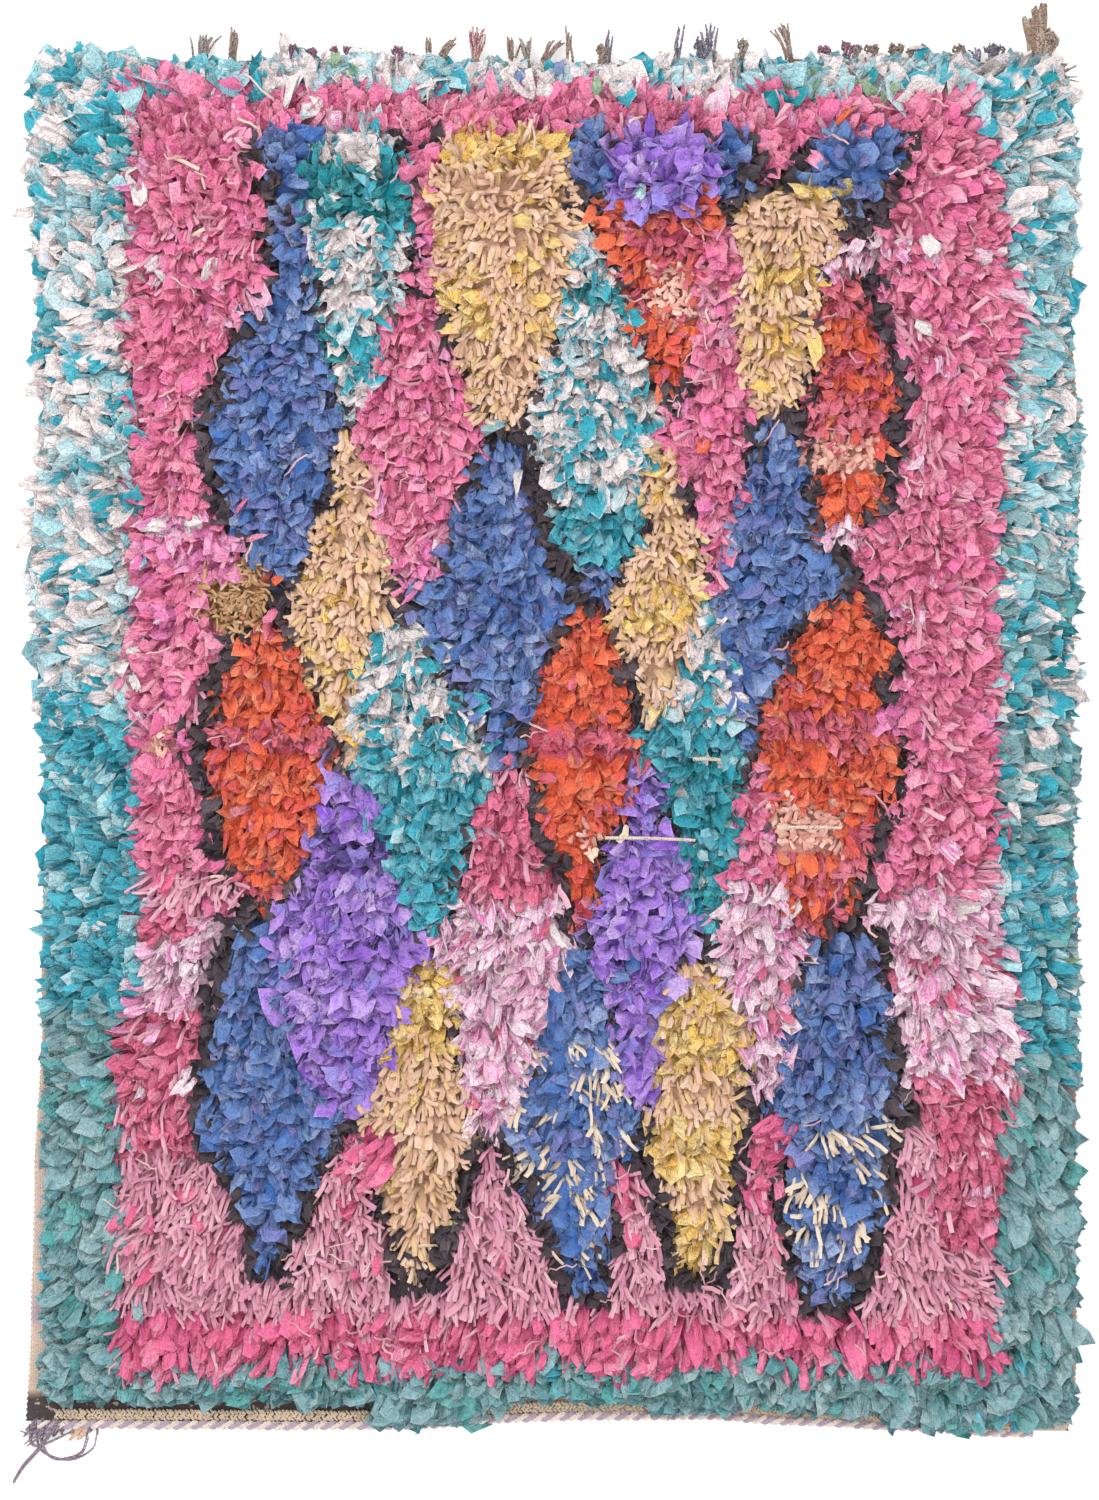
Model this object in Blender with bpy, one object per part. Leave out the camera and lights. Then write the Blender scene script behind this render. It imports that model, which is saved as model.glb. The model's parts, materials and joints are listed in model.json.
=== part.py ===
"""A boucherouite rug that lies flat: woven ground, knotted rag pile, twined end cord and warp ends.

Metres, +Z up. The origin is on the flat underside, at the middle of the rug. +Y runs up the rug to the
end with the warp tufts, and +X runs to its right.
"""

import math
import random
from collections import namedtuple

import bmesh
import bpy

# Driving dimensions of the rug.
GROUND_WIDTH = 1.355
GROUND_LENGTH = 1.767
CLOTH = 0.003
GAP = 0.0003
PILE_TOP = 0.0255
PILE_RIM = 0.0150
PILE_UNDERSIDE = CLOTH + GAP

# Rag locks round the rim of the pile.
LOCK_LENGTH = 0.030
LOCK_SPREAD = 0.008
LOCK_LEAN = 0.006
CORNER_LEAN = 0.008
LOCK_SHARES = (0.40, 0.64)
LOCK_SHIFT = 0.10
LOCK_TIP_SHARES = (0.45, 0.80)
LOCK_KNEE_HEIGHT = 0.0070
LOCK_TIP_HEIGHT = 0.0028
EDGE_CLEARANCE = 0.0055
DROP_RUN = 0.003
PAST_STRIP = 0.009
KNOTS_TO_X = 0.650

# Grid of the pile: cells on each side of the two creases, and the narrow cells at crease and rim.
PILE_COLUMNS = 18
PILE_ROWS = 24
CREASE_CELL = 0.016
RIM_CELL = 0.026
UNDERSIDE_BLOCK = 2

# Relief of the pile.
LUMP = 0.0060
ROLL = 0.0016
ROLL_WAVES = (31.0, 27.0)
CREASE_DEPTH = 0.0115
CREASE_SHOULDER = 0.3
RIM_LUMP_SHARE = 0.6
RIM_BOW = 0.0016
PATCH_FADE = 1.6

# Woven ground grid and the small unevenness of its edge.
GROUND_COLUMNS = 15
GROUND_ROWS = 31
EDGE_WOBBLE = 0.0012

# Twined cord along the lower end.
BRAID_WIDTH = 0.0075
BRAID_STEP = 0.0125
BRAID_DIP = 0.0009
BRAID_ENDS = (-0.672, 0.628)

# Strips that hold the warp ends, and the strands on them.
STRIP_WIDTH = 0.005
STRIP_ENDS = (-0.668, 0.672)
TAIL_STRIP_ENDS = (-0.668, -0.612)
STRAND_PITCH = 0.0052
STRAND_WIDTH = 0.0026
STRAND_HEIGHT = 0.0026
SHORTEST_STRAND = 0.86

# Seeds of the lumps, locks and uneven strands.
GROUND_SEED = 11
PILE_SEED = 23
WARP_SEED = 37
TAIL_SEED = 41

# How far a side of the ground stands out from the plain rectangle, at places along that side.
Edge = namedtuple("Edge", "along out")
LEFT_EDGE = (
    Edge(-0.882, 0.009), Edge(-0.791, 0.004), Edge(-0.596, -0.001), Edge(-0.336, -0.012),
    Edge(0.002, -0.017), Edge(0.236, -0.004), Edge(0.418, -0.019), Edge(0.886, -0.006),
)
RIGHT_EDGE = (
    Edge(-0.882, -0.004), Edge(-0.791, 0.009), Edge(-0.596, 0.004), Edge(-0.258, 0.010), Edge(-0.076, 0.000),
    Edge(0.119, -0.004), Edge(0.379, 0.013), Edge(0.574, -0.001), Edge(0.691, 0.006), Edge(0.886, -0.009),
)
UPPER_EDGE = (
    Edge(-0.679, -0.005), Edge(-0.328, 0.003), Edge(-0.003, -0.003), Edge(0.322, 0.003), Edge(0.660, 0.000),
)
LOWER_EDGE = (
    Edge(-0.685, 0.003), Edge(-0.198, 0.005), Edge(-0.003, -0.007), Edge(0.192, -0.009), Edge(0.387, 0.003),
    Edge(0.634, 0.016),
)

# How far the rag locks reach past the ground's edge, at places along each side.
LEFT_REACH = (
    Edge(-0.870, -0.010), Edge(-0.700, -0.014), Edge(-0.560, -0.006), Edge(-0.480, 0.008),
    Edge(0.000, 0.012), Edge(0.380, 0.010), Edge(0.600, 0.012), Edge(0.780, 0.012), Edge(0.870, 0.018),
)
RIGHT_REACH = (
    Edge(-0.870, 0.014), Edge(-0.800, 0.008), Edge(-0.400, 0.010), Edge(-0.270, -0.004),
    Edge(-0.130, -0.004), Edge(-0.040, 0.010),
    Edge(0.180, 0.004), Edge(0.260, -0.016), Edge(0.470, -0.018), Edge(0.560, 0.006), Edge(0.780, 0.010),
    Edge(0.870, 0.016),
)
UPPER_REACH = (
    Edge(-0.670, 0.020), Edge(-0.600, 0.012), Edge(-0.430, 0.002), Edge(0.000, 0.008), Edge(0.400, 0.004),
    Edge(0.600, 0.008), Edge(0.670, 0.016),
)
LOWER_REACH = (
    Edge(-0.670, -0.016), Edge(-0.520, -0.008), Edge(-0.180, -0.006), Edge(-0.120, 0.006),
    Edge(-0.020, -0.006), Edge(0.160, -0.004), Edge(0.240, 0.004), Edge(0.600, 0.006), Edge(0.670, 0.012),
)

# The parting down the middle of the pile, and the fold line across it.
PARTING = (
    Edge(-0.880, 0.024), Edge(-0.650, 0.022), Edge(-0.400, 0.010), Edge(-0.020, 0.004), Edge(0.250, -0.020),
    Edge(0.450, -0.040), Edge(0.880, -0.030),
)
PARTING_REACH = (-0.660, 0.450)
FOLD_LINE = (Edge(-0.680, -0.004), Edge(-0.300, -0.002), Edge(0.060, -0.012), Edge(0.680, 0.004))
FOLD_REACH = (-0.660, 0.200)
FADE = 0.120

# Places where the pile stands higher or is worn down.
Patch = namedtuple("Patch", "x y half_width half_height rise")
PATCHES = (
    Patch(-0.490, -0.285, 0.075, 0.055, 0.0035),
    Patch(0.510, -0.320, 0.110, 0.120, 0.0045),
    Patch(-0.060, -0.290, 0.080, 0.110, 0.0020),
    Patch(-0.515, -0.008, 0.030, 0.016, -0.0060),
    Patch(0.350, -0.105, 0.036, 0.034, -0.0085),
    Patch(0.150, 0.575, 0.034, 0.044, -0.0070),
    Patch(0.405, 0.355, 0.030, 0.018, -0.0070),
    Patch(-0.430, 0.185, 0.050, 0.050, -0.0020),
)

# Locks at the lower end that hang further than their neighbours.
LongLock = namedtuple("LongLock", "x extra")
LONG_LOCKS = (
    LongLock(-0.204, 0.026), LongLock(0.121, 0.024), LongLock(0.340, 0.014), LongLock(0.484, 0.016),
)

# Steps along a warp end: shares of its length and of its lean, and its size as a multiple of a plain strand.
Step = namedtuple("Step", "length lean width height")
PLAIN = (Step(0.35, 0.35, 1.0, 1.0), Step(0.70, 0.70, 1.0, 1.2), Step(1.00, 1.00, 0.5, 0.5))
KNOTTED = (
    Step(0.35, 0.35, 1.0, 1.0), Step(0.72, 0.72, 1.6, 2.4), Step(0.88, 0.88, 1.4, 1.9),
    Step(1.00, 1.00, 0.5, 0.5),
)
BUNCHED = (
    Step(0.25, 0.10, 1.0, 1.0), Step(0.45, 0.35, 1.0, 3.0), Step(0.75, 0.70, 1.4, 4.2),
    Step(1.00, 1.00, 1.3, 3.2),
)

# Warp ends on the upper strip: lean is the tip's sideways shift and fan what it adds from strand to strand.
Tuft = namedtuple("Tuft", "x strands length lean fan steps")
TUFTS = (
    Tuft(-0.640, 2, 0.022, -0.006, 0.003, PLAIN),
    Tuft(-0.458, 5, 0.036, 0.004, 0.003, PLAIN),
    Tuft(-0.417, 2, 0.046, 0.001, 0.000, PLAIN),
    Tuft(-0.334, 2, 0.024, 0.000, 0.002, KNOTTED),
    Tuft(-0.278, 3, 0.023, 0.001, 0.003, KNOTTED),
    Tuft(-0.197, 3, 0.023, -0.003, 0.001, KNOTTED),
    Tuft(-0.158, 2, 0.036, -0.002, 0.010, PLAIN),
    Tuft(-0.100, 5, 0.046, 0.000, 0.003, PLAIN),
    Tuft(-0.050, 3, 0.034, 0.001, 0.004, PLAIN),
    Tuft(-0.018, 4, 0.034, 0.014, 0.003, PLAIN),
    Tuft(0.019, 2, 0.048, 0.000, 0.001, PLAIN),
    Tuft(0.066, 5, 0.040, 0.002, -0.003, KNOTTED),
    Tuft(0.163, 2, 0.046, 0.004, 0.001, PLAIN),
    Tuft(0.196, 5, 0.044, 0.002, 0.003, PLAIN),
    Tuft(0.246, 3, 0.036, 0.002, 0.001, KNOTTED),
    Tuft(0.310, 5, 0.044, -0.012, 0.001, PLAIN),
    Tuft(0.354, 2, 0.022, 0.000, 0.001, KNOTTED),
    Tuft(0.386, 3, 0.028, 0.000, 0.004, KNOTTED),
    Tuft(0.414, 2, 0.023, 0.001, 0.001, KNOTTED),
    Tuft(0.452, 3, 0.023, 0.001, 0.006, KNOTTED),
    Tuft(0.534, 2, 0.026, 0.000, 0.001, KNOTTED),
    Tuft(0.570, 4, 0.026, 0.002, 0.004, KNOTTED),
    Tuft(0.626, 6, 0.072, 0.016, 0.0012, BUNCHED),
)

# The loose warp ends at the lower left corner, the long tail first.
TAIL = (
    Tuft(-0.664, 1, 0.080, -0.044, 0.000, PLAIN),
    Tuft(-0.656, 3, 0.018, -0.016, -0.004, PLAIN),
    Tuft(-0.636, 3, 0.026, -0.004, 0.002, PLAIN),
    Tuft(-0.617, 1, 0.020, 0.006, 0.000, PLAIN),
)

# Colour, roughness and metallic value of each piece's plain material.
Finish = namedtuple("Finish", "colour roughness metallic")
FINISHES = {
    "ground_weave": Finish((0.55, 0.42, 0.33), 0.95, 0.0),
    "rag_pile": Finish((0.62, 0.16, 0.28), 0.90, 0.0),
    "end_braid": Finish((0.56, 0.44, 0.48), 0.92, 0.0),
    "warp_ends": Finish((0.36, 0.29, 0.29), 0.92, 0.0),
    "corner_tail": Finish((0.40, 0.34, 0.38), 0.92, 0.0),
}


def clear_scene():
    """Removes whatever the scene holds."""
    for ob in list(bpy.data.objects):
        bpy.data.objects.remove(ob, do_unlink=True)


def blend(low, high, share):
    """The value that lies this share of the way from low to high."""
    return low + (high - low) * share


def soft_step(share):
    """0 to 1 with level ends."""
    share = min(max(share, 0.0), 1.0)
    return share * share * (3.0 - 2.0 * share)


def read_edge(table, along):
    """A table's out value at a place along its side, level at each row."""
    if along <= table[0].along:
        return table[0].out
    for before, after in zip(table, table[1:]):
        if along <= after.along:
            share = (along - before.along) / (after.along - before.along)
            return blend(before.out, after.out, soft_step(share))
    return table[-1].out


def side_x(side, y, inset=0.0):
    """x of the left (-1) or right (+1) selvedge at y, drawn in by inset."""
    table = RIGHT_EDGE if side > 0 else LEFT_EDGE
    return side * (GROUND_WIDTH / 2 + read_edge(table, y) - inset)


def end_y(side, x, inset=0.0):
    """y of the lower (-1) or upper (+1) end at x, drawn in by inset."""
    table = UPPER_EDGE if side > 0 else LOWER_EDGE
    return side * (GROUND_LENGTH / 2 + read_edge(table, x) - inset)


def new_object(name, bm):
    """Turns a finished bmesh into an object with its own Principled material."""
    bmesh.ops.recalc_face_normals(bm, faces=bm.faces)
    mesh = bpy.data.meshes.new(name)
    bm.to_mesh(mesh)
    bm.free()
    mesh.shade_smooth()
    mesh.set_sharp_from_angle(angle=math.radians(50))
    finish = FINISHES[name]
    material = bpy.data.materials.new(name)
    material.use_nodes = True
    shader = material.node_tree.nodes["Principled BSDF"]
    shader.inputs["Base Color"].default_value = (*finish.colour, 1.0)
    shader.inputs["Roughness"].default_value = finish.roughness
    shader.inputs["Metallic"].default_value = finish.metallic
    mesh.materials.append(material)
    ob = bpy.data.objects.new(name, mesh)
    bpy.context.scene.collection.objects.link(ob)
    return ob


def closed_plate(places, underside, top_of):
    """A closed plate over a grid of (x, y) places. top_of gives the height over a column and row.

    Returns the bmesh and its upper and lower vertices, as lists of columns.
    """
    bm = bmesh.new()
    upper = []
    lower = []
    for i, column in enumerate(places):
        upper.append([bm.verts.new((x, y, top_of(i, j))) for j, (x, y) in enumerate(column)])
        lower.append([bm.verts.new((x, y, underside)) for x, y in column])
    last_i = len(places) - 1
    last_j = len(places[0]) - 1
    for i in range(last_i):
        for j in range(last_j):
            bm.faces.new((upper[i][j], upper[i + 1][j], upper[i + 1][j + 1], upper[i][j + 1]))
            bm.faces.new((lower[i][j], lower[i][j + 1], lower[i + 1][j + 1], lower[i + 1][j]))
    for i in range(last_i):
        bm.faces.new((lower[i][0], lower[i + 1][0], upper[i + 1][0], upper[i][0]))
        bm.faces.new((upper[i][last_j], upper[i + 1][last_j], lower[i + 1][last_j], lower[i][last_j]))
    for j in range(last_j):
        bm.faces.new((lower[0][j + 1], lower[0][j], upper[0][j], upper[0][j + 1]))
        bm.faces.new((upper[last_i][j + 1], upper[last_i][j], lower[last_i][j], lower[last_i][j + 1]))
    return bm, upper, lower


def grow_strand(bm, root, sections):
    """Extrudes a root wall into a four-sided strand.

    root is the wall's vertices in the order low start, low end, high end, high start. Each section gives
    the same four corners of one step along the strand.
    """
    face = bm.faces.get(root)
    order = list(root)
    for corners in sections:
        made = bmesh.ops.extrude_discrete_faces(bm, faces=[face])
        face = made["faces"][0]
        copies = list(face.verts)
        order = [min(copies, key=lambda copy, old=old: (copy.co - old.co).length) for old in order]
        for vertex, corner in zip(order, corners):
            vertex.co = corner


def section(centre, across, half_width, low, high):
    """The corners of a strand's step: centre is (x, y), across the unit direction of its width."""
    start = (centre[0] - across[0] * half_width, centre[1] - across[1] * half_width)
    end = (centre[0] + across[0] * half_width, centre[1] + across[1] * half_width)
    return ((*start, low), (*end, low), (*end, high), (*start, high))


def build_ground():
    """The woven ground: a flat sheet with the rug's own uneven edges."""
    rng = random.Random(GROUND_SEED)
    places = []
    for i in range(GROUND_COLUMNS + 1):
        column = []
        for j in range(GROUND_ROWS + 1):
            along = blend(-0.5, 0.5, i / GROUND_COLUMNS) * GROUND_WIDTH
            level = blend(-0.5, 0.5, j / GROUND_ROWS) * GROUND_LENGTH
            x = blend(side_x(-1, level), side_x(1, level), i / GROUND_COLUMNS)
            y = blend(end_y(-1, along), end_y(1, along), j / GROUND_ROWS)
            if i in (0, GROUND_COLUMNS):
                x += rng.uniform(-EDGE_WOBBLE, EDGE_WOBBLE)
            column.append((x, y))
        places.append(column)
    bm, _, _ = closed_plate(places, 0.0, lambda i, j: CLOTH)
    return new_object("ground_weave", bm)


def grid_shares(cells, half_size):
    """Shares from a crease (0) to the rim (1): a narrow cell at each end and even ones between."""
    near = CREASE_CELL / half_size
    far = 1.0 - RIM_CELL / half_size
    even = [blend(near, far, k / (cells - 2)) for k in range(cells - 1)]
    return [0.0, *even, 1.0]


def signed_shares(cells, half_size):
    """The shares on both sides of a crease, from -1 to 1."""
    shares = grid_shares(cells, half_size)
    return [-share for share in reversed(shares[1:])] + shares


def pile_place(across, up):
    """(x, y) on the pile for signed shares of its half width and half length."""
    nominal_x = across * GROUND_WIDTH / 2
    nominal_y = up * GROUND_LENGTH / 2
    reach_x = RIGHT_REACH if across > 0 else LEFT_REACH
    reach_y = UPPER_REACH if up > 0 else LOWER_REACH
    rim_x = side_x(math.copysign(1, across), nominal_y, LOCK_LENGTH - read_edge(reach_x, nominal_y))
    rim_y = end_y(math.copysign(1, up), nominal_x, LOCK_LENGTH - read_edge(reach_y, nominal_x))
    x = blend(read_edge(PARTING, nominal_y), rim_x, abs(across))
    y = blend(read_edge(FOLD_LINE, nominal_x), rim_y, abs(up))
    return x, y


def crease_strength(at, reach):
    """1 inside a crease's reach, fading to 0 past its ends."""
    start, end = reach
    return soft_step((at - start) / FADE + 0.5) * soft_step((end - at) / FADE + 0.5)


def patch_rise(x, y):
    """How much the raised and worn places add at (x, y)."""
    rise = 0.0
    for patch in PATCHES:
        away = math.hypot((x - patch.x) / patch.half_width, (y - patch.y) / patch.half_height)
        rise += patch.rise * soft_step(PATCH_FADE - away)
    return rise


def pile_heights(places, rng):
    """The height of each grid point of the pile: lumps, creases, patches and a lower rim."""
    last_i = len(places) - 1
    last_j = len(places[0]) - 1
    heights = []
    for i, column in enumerate(places):
        row = []
        for j, (x, y) in enumerate(column):
            lump = rng.uniform(-LUMP, LUMP)
            if i in (0, last_i) or j in (0, last_j):
                row.append(PILE_RIM + lump * RIM_LUMP_SHARE)
                continue
            roll = ROLL * math.sin(ROLL_WAVES[0] * x) * math.sin(ROLL_WAVES[1] * y)
            height = PILE_TOP + lump + roll + patch_rise(x, y)
            from_parting = abs(i - PILE_COLUMNS)
            from_fold = abs(j - PILE_ROWS)
            if from_parting < 2:
                share = CREASE_SHOULDER if from_parting else 1.0
                height -= CREASE_DEPTH * share * crease_strength(y, PARTING_REACH)
            if from_fold < 2:
                share = CREASE_SHOULDER if from_fold else 1.0
                height -= CREASE_DEPTH * share * crease_strength(x, FOLD_REACH)
            row.append(max(height, PILE_RIM))
        heights.append(row)
    return heights


def rim_loop(last_i, last_j):
    """The grid indices round the rim, anticlockwise from the lower left corner."""
    lower = [(i, 0) for i in range(last_i)]
    right = [(last_i, j) for j in range(last_j)]
    upper = [(i, last_j) for i in range(last_i, 0, -1)]
    left = [(0, j) for j in range(last_j, 0, -1)]
    return lower + right + upper + left


def side_of(start, end, last_i, last_j):
    """Which side a rim cell is on, and the outward direction there."""
    if start[1] == end[1] == 0:
        return "lower", (0.0, -1.0)
    if start[0] == end[0] == last_i:
        return "right", (1.0, 0.0)
    if start[1] == end[1] == last_j:
        return "upper", (0.0, 1.0)
    return "left", (-1.0, 0.0)


def cloth_ahead(side, centre):
    """How far the ground, and the cord or strip at its end, run on past a point towards that side."""
    x, y = centre
    if side == "left":
        return x - side_x(-1, y)
    if side == "right":
        return side_x(1, y) - x
    if side == "upper":
        return end_y(1, x) - y + GAP + STRIP_WIDTH
    return y - end_y(-1, x) + GAP + BRAID_WIDTH


def lock_length(side, centre, rng):
    """The length of a rag lock: a few lower ones are long, and the upper ones stop short of the knots."""
    length = LOCK_LENGTH + rng.uniform(-LOCK_SPREAD, LOCK_SPREAD)
    if side == "upper" and abs(centre[0]) < KNOTS_TO_X:
        length = min(length, cloth_ahead(side, centre) + PAST_STRIP)
    if side == "lower":
        for long_lock in LONG_LOCKS:
            if abs(centre[0] - long_lock.x) < LOCK_LENGTH / 2:
                length += long_lock.extra
    return length


def lock_sections(side, outward, start, end, to_corner, rng):
    """The two steps of a rag lock that grows from the wall between start and end.

    A lock lies on what is under it. One that reaches past the cloth at its side comes down to the floor.
    At the upper end the warp ends lie under the locks, so they stay level there. to_corner is the way
    that a lock beside a corner leans, or 0.
    """
    centre = ((start[0] + end[0]) / 2, (start[1] + end[1]) / 2)
    along = (-outward[1], outward[0])
    half_root = math.dist(start, end) / 2
    length = lock_length(side, centre, rng)
    lean = to_corner * CORNER_LEAN or rng.uniform(-LOCK_LEAN, LOCK_LEAN)
    tip_share = rng.uniform(*LOCK_TIP_SHARES)
    drop_at = cloth_ahead(side, centre) + EDGE_CLEARANCE
    drops = side != "upper" and length > drop_at + DROP_RUN
    knee = max(drop_at, length / 2) if drops else length / 2
    tip_low = 0.0 if drops else PILE_UNDERSIDE

    def step(reach, width_share, low, high):
        sideways = lean * reach / length
        place = (
            centre[0] + outward[0] * reach + along[0] * sideways,
            centre[1] + outward[1] * reach + along[1] * sideways,
        )
        return section(place, along, half_root * width_share, low, high)

    return (
        step(knee, (2.0 + tip_share) / 3.0, PILE_UNDERSIDE, PILE_UNDERSIDE + LOCK_KNEE_HEIGHT),
        step(length, tip_share, tip_low, tip_low + LOCK_TIP_HEIGHT),
    )


class PileMesh:
    """The pile's slab while it is built: its grid of points, its rim walls and the roots of its locks."""

    def __init__(self, rng):
        """Places the grid's points on the top, and every second one and the rim's on the underside."""
        across = signed_shares(PILE_COLUMNS, GROUND_WIDTH / 2)
        up = signed_shares(PILE_ROWS, GROUND_LENGTH / 2)
        places = [[pile_place(a, b) for b in up] for a in across]
        heights = pile_heights(places, rng)
        self.rng = rng
        self.bm = bmesh.new()
        self.last_i = len(across) - 1
        self.last_j = len(up) - 1
        self.upper = {}
        self.lower = {}
        for i in range(self.last_i + 1):
            for j in range(self.last_j + 1):
                on_rim = i in (0, self.last_i) or j in (0, self.last_j)
                self.upper[i, j] = self.bm.verts.new((*places[i][j], heights[i][j]))
                if on_rim or (i % UNDERSIDE_BLOCK == 0 and j % UNDERSIDE_BLOCK == 0):
                    self.lower[i, j] = self.bm.verts.new((*places[i][j], PILE_UNDERSIDE))
        self.rim_points = {}
        self.roots = []

    def add_rim(self):
        """Walls between the top and the underside, with one lock's root in each cell of the rim."""
        rim = rim_loop(self.last_i, self.last_j)
        corners = {(i, j) for i in (0, self.last_i) for j in (0, self.last_j)}
        new_face = self.bm.faces.new
        for start, end in zip(rim, rim[1:] + rim[:1]):
            side, outward = side_of(start, end, self.last_i, self.last_j)
            (high_p, low_p), (high_q, low_q) = pair = self.root_points(start, end, outward)
            self.rim_points[start, end] = pair
            new_face((self.lower[start], low_p, high_p, self.upper[start]))
            new_face((low_p, low_q, high_q, high_p))
            new_face((low_q, self.lower[end], self.upper[end], high_q))
            to_corner = (end in corners) - (start in corners)
            self.roots.append((side, outward, to_corner, (low_p, low_q, high_q, high_p)))

    def root_points(self, start, end, outward):
        """The upper and lower points at both sides of a lock's root, bowed out a little."""
        half_share = self.rng.uniform(*LOCK_SHARES) / 2
        middle = 0.5 + self.rng.uniform(-LOCK_SHIFT, LOCK_SHIFT)
        pair = []
        for share in (middle - half_share, middle + half_share):
            place = self.upper[start].co.lerp(self.upper[end].co, share)
            x = place.x + outward[0] * RIM_BOW
            y = place.y + outward[1] * RIM_BOW
            high = self.bm.verts.new((x, y, place.z))
            low = self.bm.verts.new((x, y, PILE_UNDERSIDE))
            pair.append((high, low))
        return pair

    def add_cells(self, points, level, block):
        """Faces of the top (level 0) or the underside (level 1), each over a block of cells."""
        for i in range(0, self.last_i, block):
            for j in range(0, self.last_j, block):
                ring = [(i + k, j) for k in range(block)]
                ring += [(i + block, j + k) for k in range(block)]
                ring += [(i + block - k, j + block) for k in range(block)]
                ring += [(i, j + block - k) for k in range(block)]
                ring = [place for place in ring if place in points]
                corners = []
                for a, b in zip(ring, ring[1:] + ring[:1]):
                    corners.append(points[a])
                    corners += [pair[level] for pair in self.rim_points.get((a, b), ())]
                    corners += [pair[level] for pair in reversed(self.rim_points.get((b, a), ()))]
                self.bm.faces.new(corners)

    def add_locks(self):
        """Rag locks on all the roots."""
        for side, outward, to_corner, root in self.roots:
            start, end = root[0].co.xy, root[1].co.xy
            sections = lock_sections(side, outward, start, end, to_corner, self.rng)
            grow_strand(self.bm, root, sections)


def build_pile():
    """The rag pile: a lumpy slab on the ground, with its creases, and rag locks round its rim."""
    pile = PileMesh(random.Random(PILE_SEED))
    pile.add_rim()
    pile.add_cells(pile.upper, 0, 1)
    pile.add_cells(pile.lower, 1, UNDERSIDE_BLOCK)
    pile.add_locks()
    return new_object("rag_pile", pile.bm)


def build_braid():
    """The twined cord along the lower end: two strands that dip in turn, flat on the floor."""
    left, right = BRAID_ENDS
    steps = round((right - left) / BRAID_STEP)
    places = []
    for i in range(steps + 1):
        x = blend(left, right, i / steps)
        y = end_y(-1, x) - GAP - EDGE_WOBBLE
        bulge = BRAID_DIP * (i % 2)
        places.append([(x, y - BRAID_WIDTH + bulge), (x, y - BRAID_WIDTH / 2), (x, y)])
    bm, _, _ = closed_plate(places, 0.0, lambda i, j: CLOTH - BRAID_DIP * ((i + j) % 2))
    return new_object("end_braid", bm)


def strand_roots(tuft):
    """The start and end along x of each strand's root."""
    first = tuft.x - STRAND_PITCH * (tuft.strands - 1) / 2
    centres = [first + STRAND_PITCH * k for k in range(tuft.strands)]
    return [(x - STRAND_WIDTH / 2, x + STRAND_WIDTH / 2) for x in centres]


def strand_sections(tuft, k, root_centre, outward, rng):
    """The steps of the tuft's strand k, which lies on the floor, from its root outwards."""
    lean = tuft.lean + tuft.fan * (k - (tuft.strands - 1) / 2)
    length = tuft.length * rng.uniform(SHORTEST_STRAND, 1.0)
    x, y = root_centre
    sections = []
    for step in tuft.steps:
        centre = (x + lean * step.lean, y + outward * length * step.length)
        half_width = STRAND_WIDTH / 2 * step.width
        sections.append(section(centre, (-outward, 0.0), half_width, 0.0, STRAND_HEIGHT * step.height))
    return sections


def build_strip(name, ends, tufts, edge_of, outward, rng):
    """A narrow strip along an edge, with strands that grow out of its outer wall.

    edge_of gives the strip's inner line at x, outward is +1 up or -1 down the rug.
    """
    roots = [(tuft, k, span) for tuft in tufts for k, span in enumerate(strand_roots(tuft))]
    stops = sorted({*ends, *(x for _, _, span in roots for x in span)})
    lines = [(x, edge_of(x), edge_of(x) + outward * STRIP_WIDTH) for x in stops]
    if outward > 0:
        places = [[(x, inner), (x, outer)] for x, inner, outer in lines]
    else:
        places = [[(x, outer), (x, inner)] for x, inner, outer in lines]
    bm, upper, lower = closed_plate(places, 0.0, lambda i, j: STRAND_HEIGHT)
    wall = 1 if outward > 0 else 0
    for tuft, k, span in roots:
        i = stops.index(span[0])
        root = (lower[i][wall], lower[i + 1][wall], upper[i + 1][wall], upper[i][wall])
        if outward > 0:
            root = (root[1], root[0], root[3], root[2])
        x = (span[0] + span[1]) / 2
        y = (root[0].co.y + root[1].co.y) / 2
        grow_strand(bm, root, strand_sections(tuft, k, (x, y), outward, rng))
    return new_object(name, bm)


def build_warp_ends():
    """The knotted warp ends past the upper end, with the thick beige bunch near the right corner."""

    def edge_of(x):
        return end_y(1, x) + GAP + EDGE_WOBBLE

    return build_strip("warp_ends", STRIP_ENDS, TUFTS, edge_of, 1, random.Random(WARP_SEED))


def build_corner_tail():
    """The loose warp ends at the lower left corner, past the twined cord, and their long tail."""

    def edge_of(x):
        return end_y(-1, x) - 2 * GAP - EDGE_WOBBLE - BRAID_WIDTH

    return build_strip("corner_tail", TAIL_STRIP_ENDS, TAIL, edge_of, -1, random.Random(TAIL_SEED))


clear_scene()
build_ground()
build_pile()
build_braid()
build_warp_ends()
build_corner_tail()
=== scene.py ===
"""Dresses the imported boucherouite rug: its knotted rags, woven ground, end cord and loose warp ends.

Sizes are in metres, except on the chart of the pile, which is in centimetres from the middle of the rug, with
x to the right and y towards the end with the knotted warp ends.
"""

import json
import logging
import math
from collections.abc import Callable
from dataclasses import dataclass, field
from enum import Enum

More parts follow.
